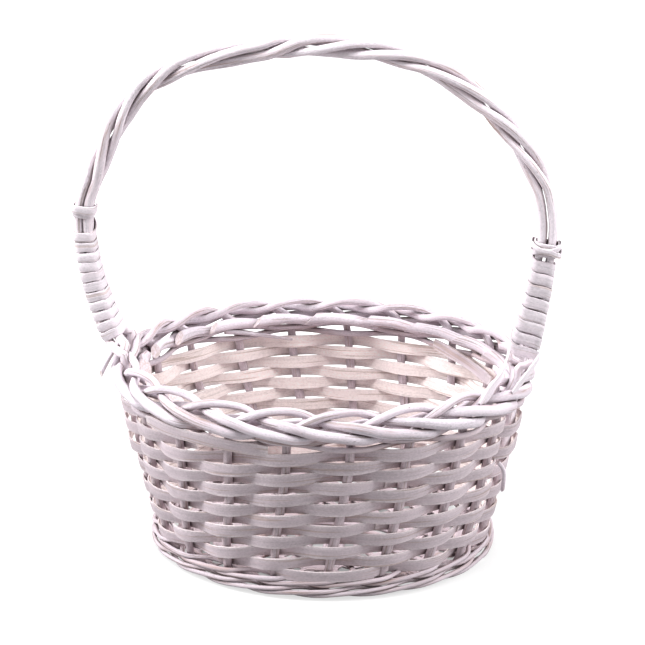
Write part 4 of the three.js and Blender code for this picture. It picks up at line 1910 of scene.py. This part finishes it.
@dataclass(frozen=True)
class Lamp:
    """A soft square lamp that looks at the basket."""

    name: str
    place: Place
    size: float
    power: float
    aim: Place = (0.0, 0.0, 0.12)

    def hang(self) -> None:
        """Puts the lamp up."""
        bpy.ops.object.light_add(type="AREA", location=self.place)
        lamp = bpy.context.object
        lamp.name = self.name
        lamp.data.shape = "SQUARE"
        lamp.data.size = self.size
        lamp.data.energy = self.power
        x, y, z = np.array(self.aim) - np.array(self.place)
        lamp.rotation_euler = (math.atan2(math.hypot(x, y), -z), 0, math.atan2(y, x) - QUARTER)


@dataclass
class Studio:
    """A pale floor, soft lights and the photograph's viewpoint, in metres and degrees.

    pixels_per_mm is the photograph's scale at the target, which is the place across and up that
    it looks at. foot is half the length and width of the basket's oval on the floor. glow is the
    floor's own light to the camera: under the basket, where it stays low as a painted shadow that
    also darkens what shows through the base, then what is added beside it and far off. rings are
    where those two set in and over how far they grow, in ovals from the middle. The camera's sensor
    is in millimetres.
    """

    azimuth: float = 8.0
    elevation: float = 18.45
    distance: float = 1.25
    target: Pair = (0.0002, 0.142)
    pixels_per_mm: float = 1.644
    photo_width: int = 645
    sensor: float = 36
    foot: Pair = (0.1, 0.086)
    floor_size: float = 12.0
    floor_level: float = -0.0003
    floor_colour: Colour = (0.32, 0.32, 0.32, 1)
    glow: tuple[float, float, float] = (0.3, 0.42, 0.3)
    rings: tuple[Pair, Pair] = ((0.8, 0.25), (2.0, 3.0))
    world_light: float = 0.34
    lamps: tuple[Lamp, ...] = (
        Lamp("lamp_left", (-1.6, -0.12, 0.9), 0.8, 33),
        Lamp("lamp_right", (1.6, 0.05, 0.9), 1.2, 30),
        Lamp("lamp_top", (-0.3, -0.5, 1.85), 0.7, 27),
        Lamp("lamp_front", (-0.9, -1.3, 1.0), 0.8, 1),
        Lamp("lamp_back", (0.0, 1.6, 1.1), 1.5, 6),
    )

    def camera(self) -> None:
        """Sets up the camera."""
        turn, lift = math.radians(self.azimuth), math.radians(self.elevation)
        flat = math.cos(lift)
        back = np.array([math.sin(turn) * flat, -math.cos(turn) * flat, math.sin(lift)])
        across = np.array([math.cos(turn), math.sin(turn), 0.0])
        eye = across * self.target[0] + UP * self.target[1] + back * self.distance
        bpy.ops.object.camera_add(location=tuple(eye), rotation=(QUARTER - lift, 0, turn))
        camera = bpy.context.object
        camera.name = "camera"
        camera.data.sensor_width = self.sensor
        reach = self.sensor * self.pixels_per_mm * self.distance * 1000
        camera.data.lens = reach / self.photo_width
        camera.data.clip_end = 30
        bpy.context.scene.camera = camera

    def floor(self) -> None:
        """Lays the floor, which looks white to the camera a little way off the basket and glows
        less under it, a painted shadow.
        """
        place = (0, 0, self.floor_level)
        bpy.ops.mesh.primitive_plane_add(size=self.floor_size, location=place)
        floor = bpy.context.object
        floor.name = "floor"
        material = bpy.data.materials.new("floor")
        shader = Shader(material)
        spot = shader.node("ShaderNodeTexCoord").outputs["Object"]
        oval = shader.vector("MULTIPLY", spot, (1 / self.foot[0], 1 / self.foot[1], 0))
        away = Signal(shader, shader.vector("LENGTH", oval.outputs[0]).outputs["Value"])
        # Painted shadow: the floor's glow stays low under the basket, so that the floor seen
        # through the open base looks dark.
        under, beside, far_off = self.glow
        first, second = (away.above(*ring) for ring in self.rings)
        glow = under + first * beside + second * far_off
        sight = Signal(shader, shader.node("ShaderNodeLightPath").outputs["Is Camera Ray"])
        shader.fill(
            shader.surface,
            Base_Color=self.floor_colour,
            Roughness=1.0,
            Specular_IOR_Level=0.0,
            Emission_Color=(1, 1, 1, 1),
            Emission_Strength=sight * glow,
        )
        floor.data.materials.append(material)

    def world(self) -> None:
        """Lights everything evenly, with a background that is white to the camera."""
        world = bpy.data.worlds.new("studio")
        bpy.context.scene.world = world
        shader = Shader(world, "Background")
        sight = Signal(shader, shader.node("ShaderNodeLightPath").outputs["Is Camera Ray"])
        strength = sight * (1 - self.world_light) + self.world_light
        shader.fill(shader.surface, Color=(1, 1, 1, 1), Strength=strength)

    def build(self) -> None:
        """Sets up everything."""
        bpy.context.scene.view_settings.view_transform = "Standard"
        self.camera()
        self.floor()
        self.world()
        for lamp in self.lamps:
            lamp.hang()


RODS = Whitewash(
    "washed rod",
    Slot.ROD,
    wash=tone(234, 224, 233),
    thin=tone(206, 190, 198),
    bare=BARE_WOOD,
    inner=tone(202, 186, 193),
    wear=0.05,
    streaks=0.95,
    speckle=0.7,
    relief=0.7,
    scars=0.07,
)
HANDLE_RODS = Whitewash(
    "washed handle rod",
    Slot.ROD,
    wash=tone(252, 242, 250),
    thin=tone(216, 201, 206),
    bare=BARE_WOOD,
    inner=tone(246, 236, 245),
    wear=0.05,
    streaks=1.2,
    speckle=0.7,
    relief=0.7,
    painted_shade=0.3,
    scars=0.07,
)
THIN_RODS = Whitewash(
    "washed thin rod",
    Slot.THIN_ROD,
    wash=tone(218, 205, 213),
    thin=tone(188, 168, 170),
    bare=tone(136, 106, 90),
    inner=tone(218, 205, 213),
    wear=0.06,
    streaks=0.8,
    speckle=0.6,
    relief=0.6,
    scars=0.06,
)
STRIPS = Whitewash(
    "washed strip",
    Slot.STRIP,
    wash=tone(206, 192, 199),
    thin=tone(193, 176, 182),
    bare=tone(176, 150, 136),
    # The inner coat is warmer than the wash, and also painted lighter for the light that falls
    # inside the basket.
    inner=tone(255, 242, 239),
    wear=-0.02,
    streaks=0.6,
    speckle=0.6,
    relief=0.4,
    edges=0.0,
    fray_and_highlight=0.6,
    painted_shade=0.55,
)
BINDINGS = Whitewash(
    "washed binding",
    Slot.ROD,
    wash=tone(236, 227, 234),
    thin=tone(220, 207, 214),
    bare=tone(188, 166, 156),
    inner=tone(236, 227, 234),
    wear=-0.02,
    streaks=0.7,
    speckle=0.6,
    relief=0.5,
    edges=0.05,
)


def main() -> None:
    """Builds the basket from its base up, then the studio."""
    logging.basicConfig(level=logging.INFO, format="%(message)s")
    finishes = (RODS, HANDLE_RODS, THIN_RODS, STRIPS, BINDINGS)
    rods, handle_rods, thin_rods, strips, bindings = (finish.coat() for finish in finishes)
    maker = Maker()
    wall = Wall()
    base = Base(wall)
    base.build(maker, thin_rods, strips)
    Stakes(wall, base).build(maker, rods)
    hoops = ("base_hoop_1", "base_hoop_2")
    Waling(wall, "foot_wale", hoops, 4.5, inner=2.2, outer=6.8).build(maker, thin_rods)
    Waling(wall, "wale", ("wale_1", "wale_2"), 10.2, start=1).build(maker, thin_rods)
    Rows(wall).build(maker, strips)
    Twining(wall).build(maker, thin_rods)
    Handle(wall).build(maker, handle_rods, bindings)
    LooseEnds(wall).build(maker, rods, strips, bindings)
    Studio().build()
    log.info("%d pieces", len(maker.made))


if __name__ == "__main__":
    main()
